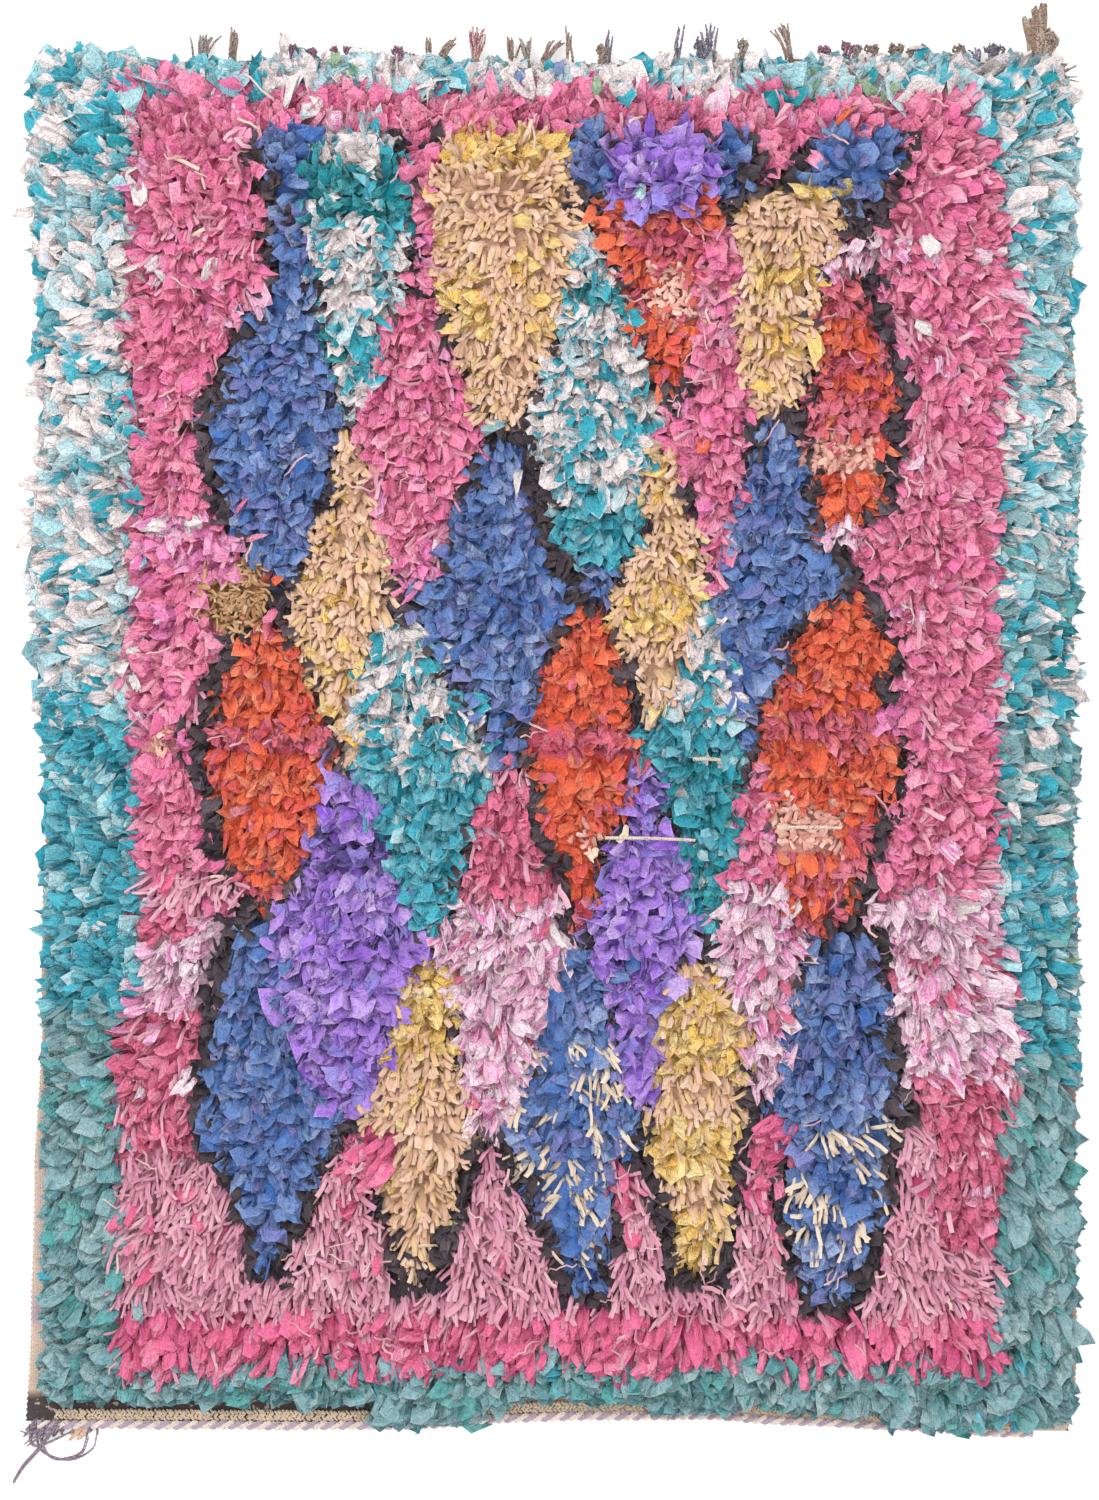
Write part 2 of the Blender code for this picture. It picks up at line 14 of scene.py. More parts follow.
import bmesh
import bpy
import numpy as np
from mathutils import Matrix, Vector

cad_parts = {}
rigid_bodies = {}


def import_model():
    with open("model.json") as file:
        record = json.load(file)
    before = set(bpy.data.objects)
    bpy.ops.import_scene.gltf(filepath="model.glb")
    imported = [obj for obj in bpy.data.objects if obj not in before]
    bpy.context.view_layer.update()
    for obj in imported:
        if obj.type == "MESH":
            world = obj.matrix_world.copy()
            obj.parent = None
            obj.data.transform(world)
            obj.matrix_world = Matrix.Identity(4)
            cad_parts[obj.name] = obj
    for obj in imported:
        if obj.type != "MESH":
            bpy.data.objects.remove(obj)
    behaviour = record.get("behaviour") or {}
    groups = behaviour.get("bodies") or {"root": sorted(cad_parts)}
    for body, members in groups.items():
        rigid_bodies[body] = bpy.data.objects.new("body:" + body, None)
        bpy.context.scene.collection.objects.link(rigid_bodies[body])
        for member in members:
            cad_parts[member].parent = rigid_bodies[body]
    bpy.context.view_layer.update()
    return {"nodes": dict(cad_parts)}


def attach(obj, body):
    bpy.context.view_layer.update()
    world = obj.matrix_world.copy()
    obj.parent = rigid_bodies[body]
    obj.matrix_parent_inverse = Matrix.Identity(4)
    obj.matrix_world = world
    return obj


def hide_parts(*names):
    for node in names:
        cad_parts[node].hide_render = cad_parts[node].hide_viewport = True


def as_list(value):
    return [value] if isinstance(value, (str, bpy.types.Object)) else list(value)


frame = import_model()
LOG = logging.getLogger("rug")
BODY = "root"
CM = 0.01
BAKE_MAP = "OFBake"

Array = np.ndarray
Draw = np.random.Generator
Table = tuple[tuple[float, float], ...]

# Sizes of the cloth's patterns, as noise scales in one metre
AREA, CLOUD, CRUSH, FLUFF, THREADS = 17.0, 70.0, 150.0, 420.0, 1500.0
# Angles in degrees past which an edge stays sharp
CLOTH_CREASE, BED_CREASE, WEAVE_CREASE, YARN_CREASE = 30.0, 60.0, 70.0, 80.0
# How high the ground's top and the floor hold up what lies on them
GROUND_TOP, FLOOR_TOP = 0.0036, 0.0006


# Shader arithmetic


class Signal:
    """A shader socket that takes part in plain arithmetic."""

    def __init__(self, sheet: "NodeSheet", socket: bpy.types.NodeSocket) -> None:
        """Wrap a socket.

        Args:
            sheet: The node tree that the socket is in.
            socket: The output socket.
        """
        self.sheet = sheet
        self.socket = socket

    def __add__(self, other: "Signal | float") -> "Signal":
        """Add."""
        return self.sheet.maths("ADD", self, other)

    def __sub__(self, other: "Signal | float") -> "Signal":
        """Take away."""
        return self.sheet.maths("SUBTRACT", self, other)

    def __rsub__(self, other: float) -> "Signal":
        """Take this away from a number."""
        return self.sheet.maths("SUBTRACT", other, self)

    def __mul__(self, other: "Signal | float") -> "Signal":
        """Multiply."""
        return self.sheet.maths("MULTIPLY", self, other)

    __radd__ = __add__
    __rmul__ = __mul__

    def clamped(self) -> "Signal":
        """Return the value held between 0 and 1."""
        return self.sheet.maths("ADD", self, 0.0, use_clamp=True)

    def step(self, low: float, high: float) -> "Signal":
        """Raise the value smoothly from 0 to 1.

        Args:
            low: Where it is 0 and below.
            high: Where it is 1 and above.

        Returns:
            The raised value.
        """
        settings = {"interpolation_type": "SMOOTHSTEP"}
        values = {"Value": self, "From Min": low, "From Max": high}
        return self.sheet.signal("ShaderNodeMapRange", settings, values)

    def ridge(self, level: float) -> "Signal":
        """Return 1 where the value is at a level, falling off sharply to both sides."""
        return 1.0 - self.sheet.maths("ABSOLUTE", (self - level) * 7.0, 0.0, use_clamp=True)

    def largest(self, other: "Signal | float") -> "Signal":
        """Return the larger of two values."""
        return self.sheet.maths("MAXIMUM", self, other)


class NodeSheet:
    """One material's nodes, wrapped so that its look reads as formulas."""

    def __init__(self, name: str) -> None:
        """Start an empty material.

        Args:
            name: The material's name.
        """
        self.material = bpy.data.materials.new(name)
        self.material.use_nodes = True
        self.tree = self.material.node_tree
        self.tree.nodes.clear()

    def node(self, kind: str, settings: dict, values: dict) -> bpy.types.Node:
        """Add a node.

        Args:
            kind: The node's type.
            settings: Its properties, set first. "stops" holds a ramp's places and colours.
            values: Its sockets' values or links, by name or number.

        Returns:
            The node.
        """
        node = self.tree.nodes.new(kind)
        for key, value in settings.items():
            if key == "stops":
                ramp = node.color_ramp
                while len(ramp.elements) < len(value):
                    ramp.elements.new(0.5)
                for element, (place, colour) in zip(ramp.elements, value):
                    element.position = place
                    element.color = colour
            else:
                setattr(node, key, value)
        for key, value in values.items():
            socket = node.inputs[key]
            if isinstance(value, Signal):
                self.tree.links.new(value.socket, socket)
            else:
                socket.default_value = value
        return node

    def signal(self, kind: str, settings: dict, values: dict, output: int | str = 0) -> Signal:
        """Add a node and return one of its outputs."""
        return Signal(self, self.node(kind, settings, values).outputs[output])

    def maths(
        self, operation: str, first: Signal | float, second: Signal | float, **settings: bool
    ) -> Signal:
        """Add a Math node and return its result."""
        settings = {"operation": operation, **settings}
        return self.signal("ShaderNodeMath", settings, {0: first, 1: second})

    def mix(self, factor: Signal | float, first: Signal | tuple, second: Signal | tuple) -> Signal:
        """Return a colour between two colours."""
        values = {0: factor, 6: first, 7: second}
        return self.signal("ShaderNodeMix", {"data_type": "RGBA"}, values, 2)

    def split(self, vector: Signal) -> list[Signal]:
        """Return a vector's three numbers."""
        node = self.node("ShaderNodeSeparateXYZ", {}, {0: vector})
        return [Signal(self, node.outputs[i]) for i in range(3)]

    def join(self, x: Signal | float, y: Signal | float, z: Signal | float) -> Signal:
        """Return a vector of three numbers."""
        return self.signal("ShaderNodeCombineXYZ", {}, {0: x, 1: y, 2: z})

    def attribute(self, name: str) -> Signal:
        """Return a mesh attribute as a vector."""
        return self.signal("ShaderNodeAttribute", {"attribute_name": name}, {}, "Vector")

    def place(self) -> Signal:
        """Return the point's object coordinates."""
        return self.signal("ShaderNodeTexCoord", {}, {}, "Object")

    def noise(self, vector: Signal, scale: float, detail: float = 2.0) -> Signal:
        """Return a soft noise around 0.5."""
        values = {"Vector": vector, "Scale": scale, "Detail": detail, "Roughness": 0.55}
        return self.signal("ShaderNodeTexNoise", {}, values)

    def bump(self, height: Signal, distance: float, under: Signal | None = None) -> Signal:
        """Roughen a normal by a height.

        Args:
            height: The height.
            distance: How much of it there is, in metres.
            under: A normal that is roughened already.

        Returns:
            The normal.
        """
        values = {"Height": height, "Distance": distance}
        if under is not None:
            values["Normal"] = under
        return self.signal("ShaderNodeBump", {}, values)

    def finished(
        self, colour: Signal, roughness: Signal | float, normal: Signal, **fixed: float
    ) -> bpy.types.Material:
        """Close the material with a Principled shader.

        Args:
            colour: Its base colour.
            roughness: Its roughness.
            normal: Its normal.
            **fixed: Values that are the same all over, by socket name with _ for a space.

        Returns:
            The material.
        """
        values = {"Base Color": colour, "Roughness": roughness, "Normal": normal}
        values.update({name.replace("_", " "): value for name, value in fixed.items()})
        shader = self.signal("ShaderNodeBsdfPrincipled", {}, values)
        self.node("ShaderNodeOutputMaterial", {}, {"Surface": shader})
        return self.material


def tone(code: str) -> tuple[float, float, float, float]:
    """Read a colour.

    Args:
        code: Its six display digits.

    Returns:
        Its linear red, green and blue, and 1.
    """
    shares = [int(code[i : i + 2], 16) / 255 for i in (0, 2, 4)]
    linear = [s / 12.92 if s <= 0.04045 else ((s + 0.055) / 1.055) ** 2.4 for s in shares]
    return (*linear, 1.0)


# Finishes


@dataclass(frozen=True)
class RagFinish:
    """The look of one old cloth that rags were cut from."""

    name: str
    deep: str
    body: str
    faded: str
    odd: str = ""
    second: str = ""
    second_share: float = 0.5
    blur: float = 0.04
    print_scale: float = 42.0
    streaks: bool = False
    lot: float = 0.55
    area: float = 0.0
    thread: str = "EEE4E6"
    fray: float = 0.25
    mottle: float = 0.5
    crinkle: float = 0.0042
    shadow: float = 0.08
    sheen: float = 0.15

    def material(self) -> bpy.types.Material:
        """Mix the cloth's dye, fading, print, frayed edges, crinkles and weave, with painted shade in its
        creases and towards its root.

        Returns:
            The material.
        """
        sheet = NodeSheet(self.name)
        across, along, dye = sheet.split(sheet.attribute("rag"))
        luck = sheet.attribute("luck")
        pick, drift, other = sheet.split(luck)
        place = sheet.place()
        shifted = {0: luck, 1: (3, 3, 3), 2: place}
        own = sheet.signal("ShaderNodeVectorMath", {"operation": "MULTIPLY_ADD"}, shifted)
        cloud = sheet.noise(own, CLOUD)
        # The fade follows the dye, the cloud and the place along the rag, so tips come out paler: partly sun
        # fading, partly painted shade that darkens each rag towards its root.
        fade = dye * 0.8 + along * 0.25 + (cloud - 0.5) * self.mottle - 0.05
        colour = sheet.mix(fade.step(0.0, 0.5), tone(self.deep), tone(self.body))
        colour = sheet.mix(fade.step(0.5, 1.05), colour, tone(self.faded))
        if self.odd:
            colour = sheet.mix(other.step(0.8, 0.84) * 0.75, colour, tone(self.odd))
        if self.second:
            spot = sheet.join(across * 2.4 + pick * 9, along * 0.7, drift * 9) if self.streaks else own
            patch = sheet.noise(spot, self.print_scale) + (pick - 0.5) * self.lot
            patch += (sheet.noise(place, AREA, 1.0) - 0.5) * self.area
            edge = 0.5 + (0.5 - self.second_share) * 0.6
            colour = sheet.mix(patch.step(edge - self.blur, edge + self.blur), colour, tone(self.second))
        folds = sheet.noise(sheet.join(across * 2.2 + drift * 9, along * 1.5, pick * 9), 1.5, 2.0)
        pleat = folds.ridge(0.56)
        crush = sheet.noise(own, CRUSH, 1.0).ridge(0.58)
        # Painted shade: the cloth is darkened along its pleats and crushed folds, towards a dark mix of its
        # deep colour, by the shadow share.
        crease = pleat.step(0.76, 1.0).largest(crush.step(0.82, 1.0))
        crease_shade = sheet.mix(0.35, tone(self.deep), (0.02, 0.01, 0.02, 1.0))
        colour = sheet.mix(crease * self.shadow, colour, crease_shade)
        rim = (across * across).largest(along * along)
        fluff = sheet.noise(own, FLUFF)
        colour = sheet.mix(rim.step(0.84, 1.0) * fluff.step(0.4, 0.62) * self.fray, colour, tone(self.thread))
        relief = folds * 0.6 - pleat * 0.35 - crush * 0.4
        normal = sheet.bump(sheet.noise(place, THREADS, 1.0), 0.0003, sheet.bump(relief, self.crinkle))
        rough = cloud * 0.12 + 0.8
        return sheet.finished(colour, rough, normal, Sheen_Weight=self.sheen, Specular_IOR_Level=0.25)


@dataclass(frozen=True)
class YarnFinish:
    """The look of plied yarn or cord, whose plies take their colours by turns."""

    name: str
    first: str
    second: str
    fleck: str
    fleck_share: float = 0.2
    cloud_scale: float = 240.0
    fleck_scale: float = 520.0

    def material(self) -> bpy.types.Material:
        """Mix the yarn's plies, flecks and fine fibres.

        Returns:
            The material.
        """
        sheet = NodeSheet(self.name)
        around, along, ply = sheet.split(sheet.attribute("rag"))
        pick, drift, _ = sheet.split(sheet.attribute("luck"))
        place = sheet.place()
        cloud = sheet.noise(place, self.cloud_scale)
        fleck = sheet.noise(place, self.fleck_scale, 1.0)
        edge = 0.5 + (0.5 - self.fleck_share) * 0.5
        colour = sheet.mix((ply + (cloud - 0.5) * 0.4).step(0.4, 0.6), tone(self.first), tone(self.second))
        colour = sheet.mix(fleck.step(edge - 0.03, edge + 0.03), colour, tone(self.fleck))
        fibre = sheet.noise(sheet.join(around * 6, along * 14 + around * 4, drift), 3.0, 2.0)
        normal = sheet.bump(fibre, 0.0006)
        return sheet.finished(colour, cloud * 0.1 + 0.82, normal, Sheen_Weight=0.2, Specular_IOR_Level=0.2)


@dataclass(frozen=True)
class WovenFinish:
    """The look of the weft-faced ground, whose weft changes colour along both its sides."""

    name: str
    left: tuple[tuple[float, str], ...]
    right: tuple[tuple[float, str], ...]
    fleck: str
    shade: str = "8E7462"
    weft_pitch: float = 0.0021
    warp_pitch: float = 0.006

    def material(self, half_length: float) -> bpy.types.Material:
        """Return the ground's material.

        Args:
            half_length: Half of the ground's length, which the bands run over from -1 to 1.

        Returns:
            The material.
        """
        sheet = NodeSheet(self.name)
        place = sheet.place()
        x, y, _ = sheet.split(place)
        wobble = sheet.noise(place, 18.0)
        level = y * (0.5 / half_length) + 0.5 + (wobble - 0.5) * 0.012
        ramps = []
        for bands in (self.left, self.right):
            stops = tuple(((share + 1) / 2, tone(code)) for share, code in bands)
            ramps.append(sheet.signal("ShaderNodeValToRGB", {"stops": stops}, {"Fac": level}))
        colour = sheet.mix(x.step(-0.1, 0.1), *ramps)
        fleck = sheet.noise(place, 130.0)
        colour = sheet.mix(fleck.step(0.6, 0.66) * 0.6, colour, tone(self.fleck))
        shade = sheet.noise(place, 300.0)
        colour = sheet.mix(shade.step(0.3, 0.7) * 0.18, colour, tone(self.shade))
        rib = sheet.maths("SINE", y * (math.tau / self.weft_pitch), 0.0)
        warp = sheet.maths("SINE", x * (math.tau / self.warp_pitch), 0.0)
        normal = sheet.bump(rib * warp + shade, 0.0008)
        return sheet.finished(colour, shade * 0.1 + 0.84, normal, Sheen_Weight=0.15, Specular_IOR_Level=0.2)


# Templates of the cut rags


def clear_selection() -> None:
    """Deselect everything, because an operator acts on all that is selected."""
    if bpy.context.object and bpy.context.object.mode != "OBJECT":
        bpy.ops.object.mode_set(mode="OBJECT")
    bpy.ops.object.select_all(action="DESELECT")


def select_where(test: Callable[[Vector], bool]) -> None:
    """Select vertices of the mesh in edit mode.

    Args:
        test: What their places have to pass.
    """
    bpy.ops.mesh.select_all(action="DESELECT")
    mesh = bmesh.from_edit_mesh(bpy.context.object.data)
    for vertex in mesh.verts:
        vertex.select_set(test(vertex.co))
    mesh.select_flush_mode()
    bmesh.update_edit_mesh(bpy.context.object.data)


@dataclass
class Template:
    """One cut rag as it leaves the scissors, which all its copies are bent from.

    places holds each point's share across (-1 to 1) and along (0 to 1) and its lift off the cloth's top face.
    row and column say which fold of the rag a point moves with, and tile is each face's place on the bake
    map.
    """

    places: Array
    faces: Array
    tile: Array
    row: Array
    column: Array
    rows: int
    columns: int
    shares: Array


def take_mesh() -> tuple[Array, Array]:
    """Read the active object's points and four-sided faces, and remove it.

    Returns:
        The points and the faces.
    """
    made = bpy.context.object
    mesh = made.data
    places = np.array([v.co for v in mesh.vertices], float)
    faces = np.array([list(p.vertices) for p in mesh.polygons], int)
    bpy.data.objects.remove(made)
    return places, faces


def cut_flake(columns: int, rows: int, bunch: float = 0.8) -> Template:
    """Cut a flat rag of two faces that meet at its edges.

    Args:
        columns: Number of faces across.
        rows: Number of faces along.
        bunch: Less than 1 to crowd the rows towards the tip.

    Returns:
        The template.
    """
    clear_selection()
    bpy.ops.mesh.primitive_grid_add(x_subdivisions=columns, y_subdivisions=rows, size=2.0)
    bpy.ops.object.mode_set(mode="EDIT")
    bpy.ops.mesh.select_all(action="SELECT")
    bpy.ops.mesh.duplicate()
    bpy.ops.mesh.flip_normals()
    bpy.ops.transform.translate(value=(0, 0, -1))
    select_where(lambda p: p.z < -0.5 and max(abs(p.x), abs(p.y)) > 0.999)
    bpy.ops.transform.translate(value=(0, 0, 1))
    bpy.ops.mesh.select_all(action="SELECT")
    bpy.ops.mesh.remove_doubles(threshold=1e-4)
    bpy.ops.object.mode_set(mode="OBJECT")
    places, faces = take_mesh()
    places[:, 1] = (places[:, 1] + 1) / 2
    under = places[faces][:, :, 2].min(axis=1) < -0.5
    corners = places[faces]
    tile = np.stack([(corners[:, :, 0] + 1) * 0.24 + 0.01, corners[:, :, 1] * 0.96 + 0.02], axis=2)
    tile[under, :, 0] += 0.5
    row = np.rint(places[:, 1] * rows).astype(int)
    column = np.rint((places[:, 0] + 1) / 2 * columns).astype(int)
    shares = np.linspace(0, 1, rows + 1) ** bunch
    places[:, 1] = shares[row]
    return Template(places, faces, tile, row, column, rows, columns, shares)


def roll_strand(sides: int, rows: int) -> Template:
    """Roll a narrow strand with a closed section.

    Args:
        sides: Number of faces around it.
        rows: Number of faces along it.

    Returns:
        The template.
    """
    clear_selection()
    bpy.ops.mesh.primitive_circle_add(vertices=sides, radius=1.0, fill_type="NGON")
    bpy.ops.object.mode_set(mode="EDIT")
    bpy.ops.mesh.select_all(action="SELECT")
    for _ in range(rows):
        bpy.ops.mesh.extrude_region_move(TRANSFORM_OT_translate={"value": (0, 0, 1 / rows)})
    bpy.ops.mesh.select_all(action="SELECT")
    bpy.ops.mesh.normals_make_consistent(inside=False)
    bpy.ops.object.mode_set(mode="OBJECT")
    places, faces = take_mesh()
    places, faces = places[:, [0, 2, 1]], faces[:, ::-1]
    corners = places[faces]
    angle = (np.arctan2(corners[:, :, 2], corners[:, :, 0]) / math.tau) % 1.0
    cap = np.ptp(corners[:, :, 1], axis=1) < 1e-6
    angle = np.where((np.ptp(angle, axis=1) > 0.6)[:, None] & (angle < 0.3), angle + 1, angle)
    tile = np.stack([angle * 0.78 + 0.01, corners[:, :, 1] * 0.8 + 0.1], axis=2)
    cap_x, cap_y = corners[:, :, 0] * 0.04 + 0.94, corners[:, :, 2] * 0.04 + 0.2 + corners[:, :, 1] * 0.6
    tile[cap] = np.stack([cap_x, cap_y], axis=2)[cap]
    row = np.rint(places[:, 1] * rows).astype(int)
    return Template(places, faces, tile, row, np.zeros(len(row), int), rows, 0, np.linspace(0, 1, rows + 1))


class Cut(Enum):
    """How a rag was cut."""

    FLAKE = "flake"
    STRIP = "strip"
    FRAYED = "frayed"
    STRAND = "strand"
    THREAD = "thread"

    @property
    def rolled(self) -> bool:
        """Whether it is a narrow strand with a closed section."""
        return self in (Cut.STRAND, Cut.THREAD)


# Kinds of rag


@dataclass(frozen=True)
class RagKind:
    """One kind of knotted rag: its cloth and cut, its sizes, and how it lies. Tilts are from upright."""

    piece: str
    finish: RagFinish
    cut: Cut = Cut.FLAKE
    width: float = 0.018
    length: float = 0.03
    thick: float = 0.0011
    per_knot: float = 2.9
    tilt_root: float = 48.0
    tilt_tip: float = 79.0
    spread: float = 36.0
    crumple: float = 0.085
    neck: float = 0.6
    dye: float = 0.5
    dye_spread: float = 0.34
    loose: float = 1.0
    mixed: tuple[tuple[str, float], ...] = ()


PINK_COTTON = RagFinish("pink_cotton", "DC6696", "F88EB4", "FBB0CC", odd="FA7CB2", fray=0.25)
ROSE_COTTON = RagFinish("rose_cotton", "CE5480", "F07EA2", "F8A2BC", odd="F6749C", fray=0.2)
HOT_COTTON = RagFinish("hot_pink_cotton", "D04C80", "F676A4", "FA9CBC", fray=0.1)
DUSTY_JERSEY = RagFinish(
    "dusty_pink_jersey", "C07C96", "DE9EB4", "EEC0CE", odd="DC90AC", fray=0.0, crinkle=0.001,
)
PALE_COTTON = RagFinish(
    "pale_pink_cotton", "F2C0DA", "FBDEEC", "FCEEF4", odd="F4B4D6", second="E884C0",
    second_share=0.31, blur=0.13, print_scale=1.3, streaks=True, lot=0.3, fray=0.8,
)
MAGENTA_COTTON = RagFinish("magenta_cotton", "D468A8", "F288C0", "F6AED6")
BLUE_COTTON = RagFinish("blue_cotton", "386AB8", "6C8CC8", "9EAED6", odd="7E80C0", fray=0.12, mottle=0.6)
SPLASHED_COTTON = RagFinish(
    "splashed_cotton", "E2D8DA", "F0E4E4", "F6EEEC", odd="B6DAE2", second="36AEC2",
    second_share=0.37, blur=0.07, print_scale=13.0, lot=0.6, area=1.5, fray=0.8,
)
ICE_COTTON = RagFinish("ice_cotton", "84C8D4", "B0DCE4", "D4E8EC", fray=0.5)
AQUA_COTTON = RagFinish("aqua_cotton", "149AB0", "4AB8CC", "8ACEDA", odd="7CC0CE", fray=0.2, mottle=0.6)
TEAL_COTTON = RagFinish("teal_cotton", "107A88", "24A2AE", "50BAC2")
SEA_COTTON = RagFinish("sea_green_cotton", "50969C", "8AB2B8", "AAC4C8", odd="5CB2B0", fray=0.12, mottle=0.6)
SAND_JERSEY = RagFinish("sand_jersey", "C29A7C", "E4BCA0", "EED2BC", odd="E8C68C", fray=0.0, crinkle=0.001)
YELLOW_COTTON = RagFinish("yellow_cotton", "F4C060", "FCDA8C", "FCE8B4", odd="FCCE62")
ORANGE_COTTON = RagFinish("orange_cotton", "E45236", "FC7650", "FA9A78", odd="EE5A58")
SALMON_COTTON = RagFinish("salmon_cotton", "CC4C6E", "EC728A", "F29AA6", odd="F27464")
VIOLET_COTTON = RagFinish(
    "violet_cotton", "8652CE", "B286E6", "CCAEEA", odd="908AE0", fray=0.3, mottle=0.6, sheen=0.3,
)
DARK_VIOLET_COTTON = RagFinish("dark_violet_cotton", "45357A", "64509E", "7E6CB4")
CHARCOAL_COTTON = RagFinish("charcoal_cotton", "30282E", "4E424A", "6E6068", fray=0.04, mottle=0.7)
NUB_JERSEY = RagFinish("nub_jersey", "C88C80", "E8B2A2", "F2CEC2", fray=0.0, crinkle=0.0008)
CREAM_JERSEY = RagFinish("cream_jersey", "C3A78C", "E6D2BC", "F0E4D6", fray=0.0, crinkle=0.0008)
TAN_FLUFF = RagFinish("tan_fluff", "94663E", "C49A70", "E4C8A8", fray=0.0, crinkle=0.0006)
WHITE_COTTON = RagFinish("white_cotton", "E4DADC", "F0E6E6", "F6EEEE", fray=0.6, thread="F2ECEC")
RED_COTTON = RagFinish("red_cotton", "8E1A33", "C0304A", "D65A6A")
SAGE_COTTON = RagFinish("sage_cotton", "7C9C72", "9DB898", "BCCCB4")
LOOSE_JERSEY = RagFinish("loose_jersey", "C08A98", "DCA8B0", "E8CCC6", fray=0.0, crinkle=0.0006, shadow=0.0)


class Kind(Enum):
    """The kinds of rag that the chart names."""

    PINK = RagKind(
        "pile_pink", PINK_COTTON, width=0.02, per_knot=2.6, spread=28.0, loose=0.8,
        mixed=(("PALE", 0.02), ("MAGENTA", 0.01), ("DUSTY", 0.04), ("THREAD", 0.03)),
    )
    ROSE = RagKind(
        "pile_rose", ROSE_COTTON, Cut.STRIP, width=0.014, length=0.032, per_knot=3.1, spread=28.0,
        mixed=(("DUSTY", 0.06), ("PALE", 0.02), ("THREAD", 0.02)),
    )
    HOT = RagKind(
        "pile_hot_pink", HOT_COTTON, Cut.STRIP, width=0.0125, length=0.048, tilt_root=50.0, tilt_tip=88.0,
        spread=17.0, crumple=0.03, neck=0.8, loose=0.35, per_knot=3.0,
        mixed=(("DUSTY", 0.1), ("THREAD", 0.04)),
    )
    DUSTY = RagKind(
        "pile_dusty_pink", DUSTY_JERSEY, Cut.STRAND, width=0.0054, length=0.039, thick=0.0038, per_knot=6.2,
        tilt_root=42.0, tilt_tip=88.0, spread=17.0, crumple=0.12, loose=1.1,
        mixed=(("HOT", 0.04), ("THREAD", 0.05)),
    )
    PALE = RagKind(
        "pile_pale_pink", PALE_COTTON, Cut.FRAYED, width=0.018, length=0.036, per_knot=2.3, spread=24.0,
        mixed=(("ROSE", 0.05), ("THREAD", 0.03)),
    )
    MAGENTA = RagKind("pile_magenta", MAGENTA_COTTON, width=0.022)
    BLUE = RagKind(
        "pile_blue", BLUE_COTTON, width=0.022, length=0.031, per_knot=2.4, spread=30.0, loose=0.8,
        mixed=(("THREAD", 0.005),),
    )
    SPLASHED = RagKind(
        "pile_splashed", SPLASHED_COTTON, Cut.FRAYED, width=0.022, length=0.033, per_knot=2.1, loose=0.6,
        mixed=(("AQUA", 0.06), ("WHITE", 0.16)),
    )
    ICE = RagKind("pile_ice", ICE_COTTON, width=0.023, per_knot=2.3, loose=0.6, mixed=(("SPLASHED", 0.1),))
    AQUA = RagKind("pile_aqua", AQUA_COTTON, width=0.0215, per_knot=2.4, mixed=(("ICE", 0.08),))
    TEAL = RagKind("pile_teal", TEAL_COTTON, Cut.STRIP, width=0.012, per_knot=3.4, mixed=(("AQUA", 0.15),))
    SEA = RagKind(
        "pile_sea_green", SEA_COTTON, Cut.STRIP, width=0.02, length=0.038, per_knot=2.4, spread=24.0,
        loose=0.6, mixed=(("AQUA", 0.03),),
    )
    SAND = RagKind(
        "pile_sand", SAND_JERSEY, Cut.STRAND, width=0.0066, length=0.031, thick=0.0038, per_knot=5.4,
        tilt_root=38.0, tilt_tip=84.0, spread=20.0, crumple=0.12, loose=0.9, mixed=(("YELLOW", 0.04),),
    )
    YELLOW = RagKind("pile_yellow", YELLOW_COTTON, width=0.0175, mixed=(("SAND", 0.2),))
    ORANGE = RagKind(
        "pile_orange", ORANGE_COTTON, Cut.STRIP, width=0.015, per_knot=3.1, mixed=(("SALMON", 0.06),),
    )
    SALMON = RagKind(
        "pile_salmon", SALMON_COTTON, Cut.STRIP, width=0.0115, per_knot=3.6,
        mixed=(("ORANGE", 0.12), ("THREAD", 0.03)),
    )
    VIOLET = RagKind("pile_violet", VIOLET_COTTON, Cut.FRAYED, width=0.028, length=0.034, per_knot=1.9)
    DARK_VIOLET = RagKind("pile_dark_violet", DARK_VIOLET_COTTON, Cut.STRIP, width=0.013, per_knot=3.2)
    CHARCOAL = RagKind("pile_charcoal", CHARCOAL_COTTON, width=0.02, length=0.027, per_knot=2.4, crumple=0.06)
    NUBS = RagKind(
        "pile_nubs", NUB_JERSEY, Cut.STRAND, width=0.0072, length=0.019, thick=0.0064, per_knot=7.9,
        tilt_root=0.0, tilt_tip=110.0, spread=160.0, crumple=0.14, loose=2.0,
    )
    TAN = RagKind(
        "pile_tan", TAN_FLUFF, Cut.STRAND, width=0.0042, length=0.025, thick=0.0034, per_knot=7.0,
        tilt_root=15.0, tilt_tip=85.0, spread=80.0, crumple=0.2,
    )
    CREAM = RagKind(
        "pile_cream", CREAM_JERSEY, Cut.STRAND, width=0.0056, length=0.04, thick=0.0044, per_knot=4.4,
        tilt_root=40.0, tilt_tip=86.0, spread=18.0, crumple=0.14,
    )
    SAGE = RagKind("pile_sage", SAGE_COTTON)
    WHITE = RagKind("pile_white", WHITE_COTTON, Cut.FRAYED, width=0.02)
    RED = RagKind("pile_red", RED_COTTON)
    THREAD = RagKind(
        "pile_loose_strings", LOOSE_JERSEY, Cut.THREAD, width=0.0026, length=0.046, thick=0.0022,
        tilt_root=22.0, tilt_tip=90.0, spread=60.0, crumple=0.5, dye_spread=0.6,
    )


KINDS = list(Kind)
BAND_DRAWS, MIXED_DRAW = 50, 99
NUMBER = {kind.name: i for i, kind in enumerate(KINDS)}


# The chart


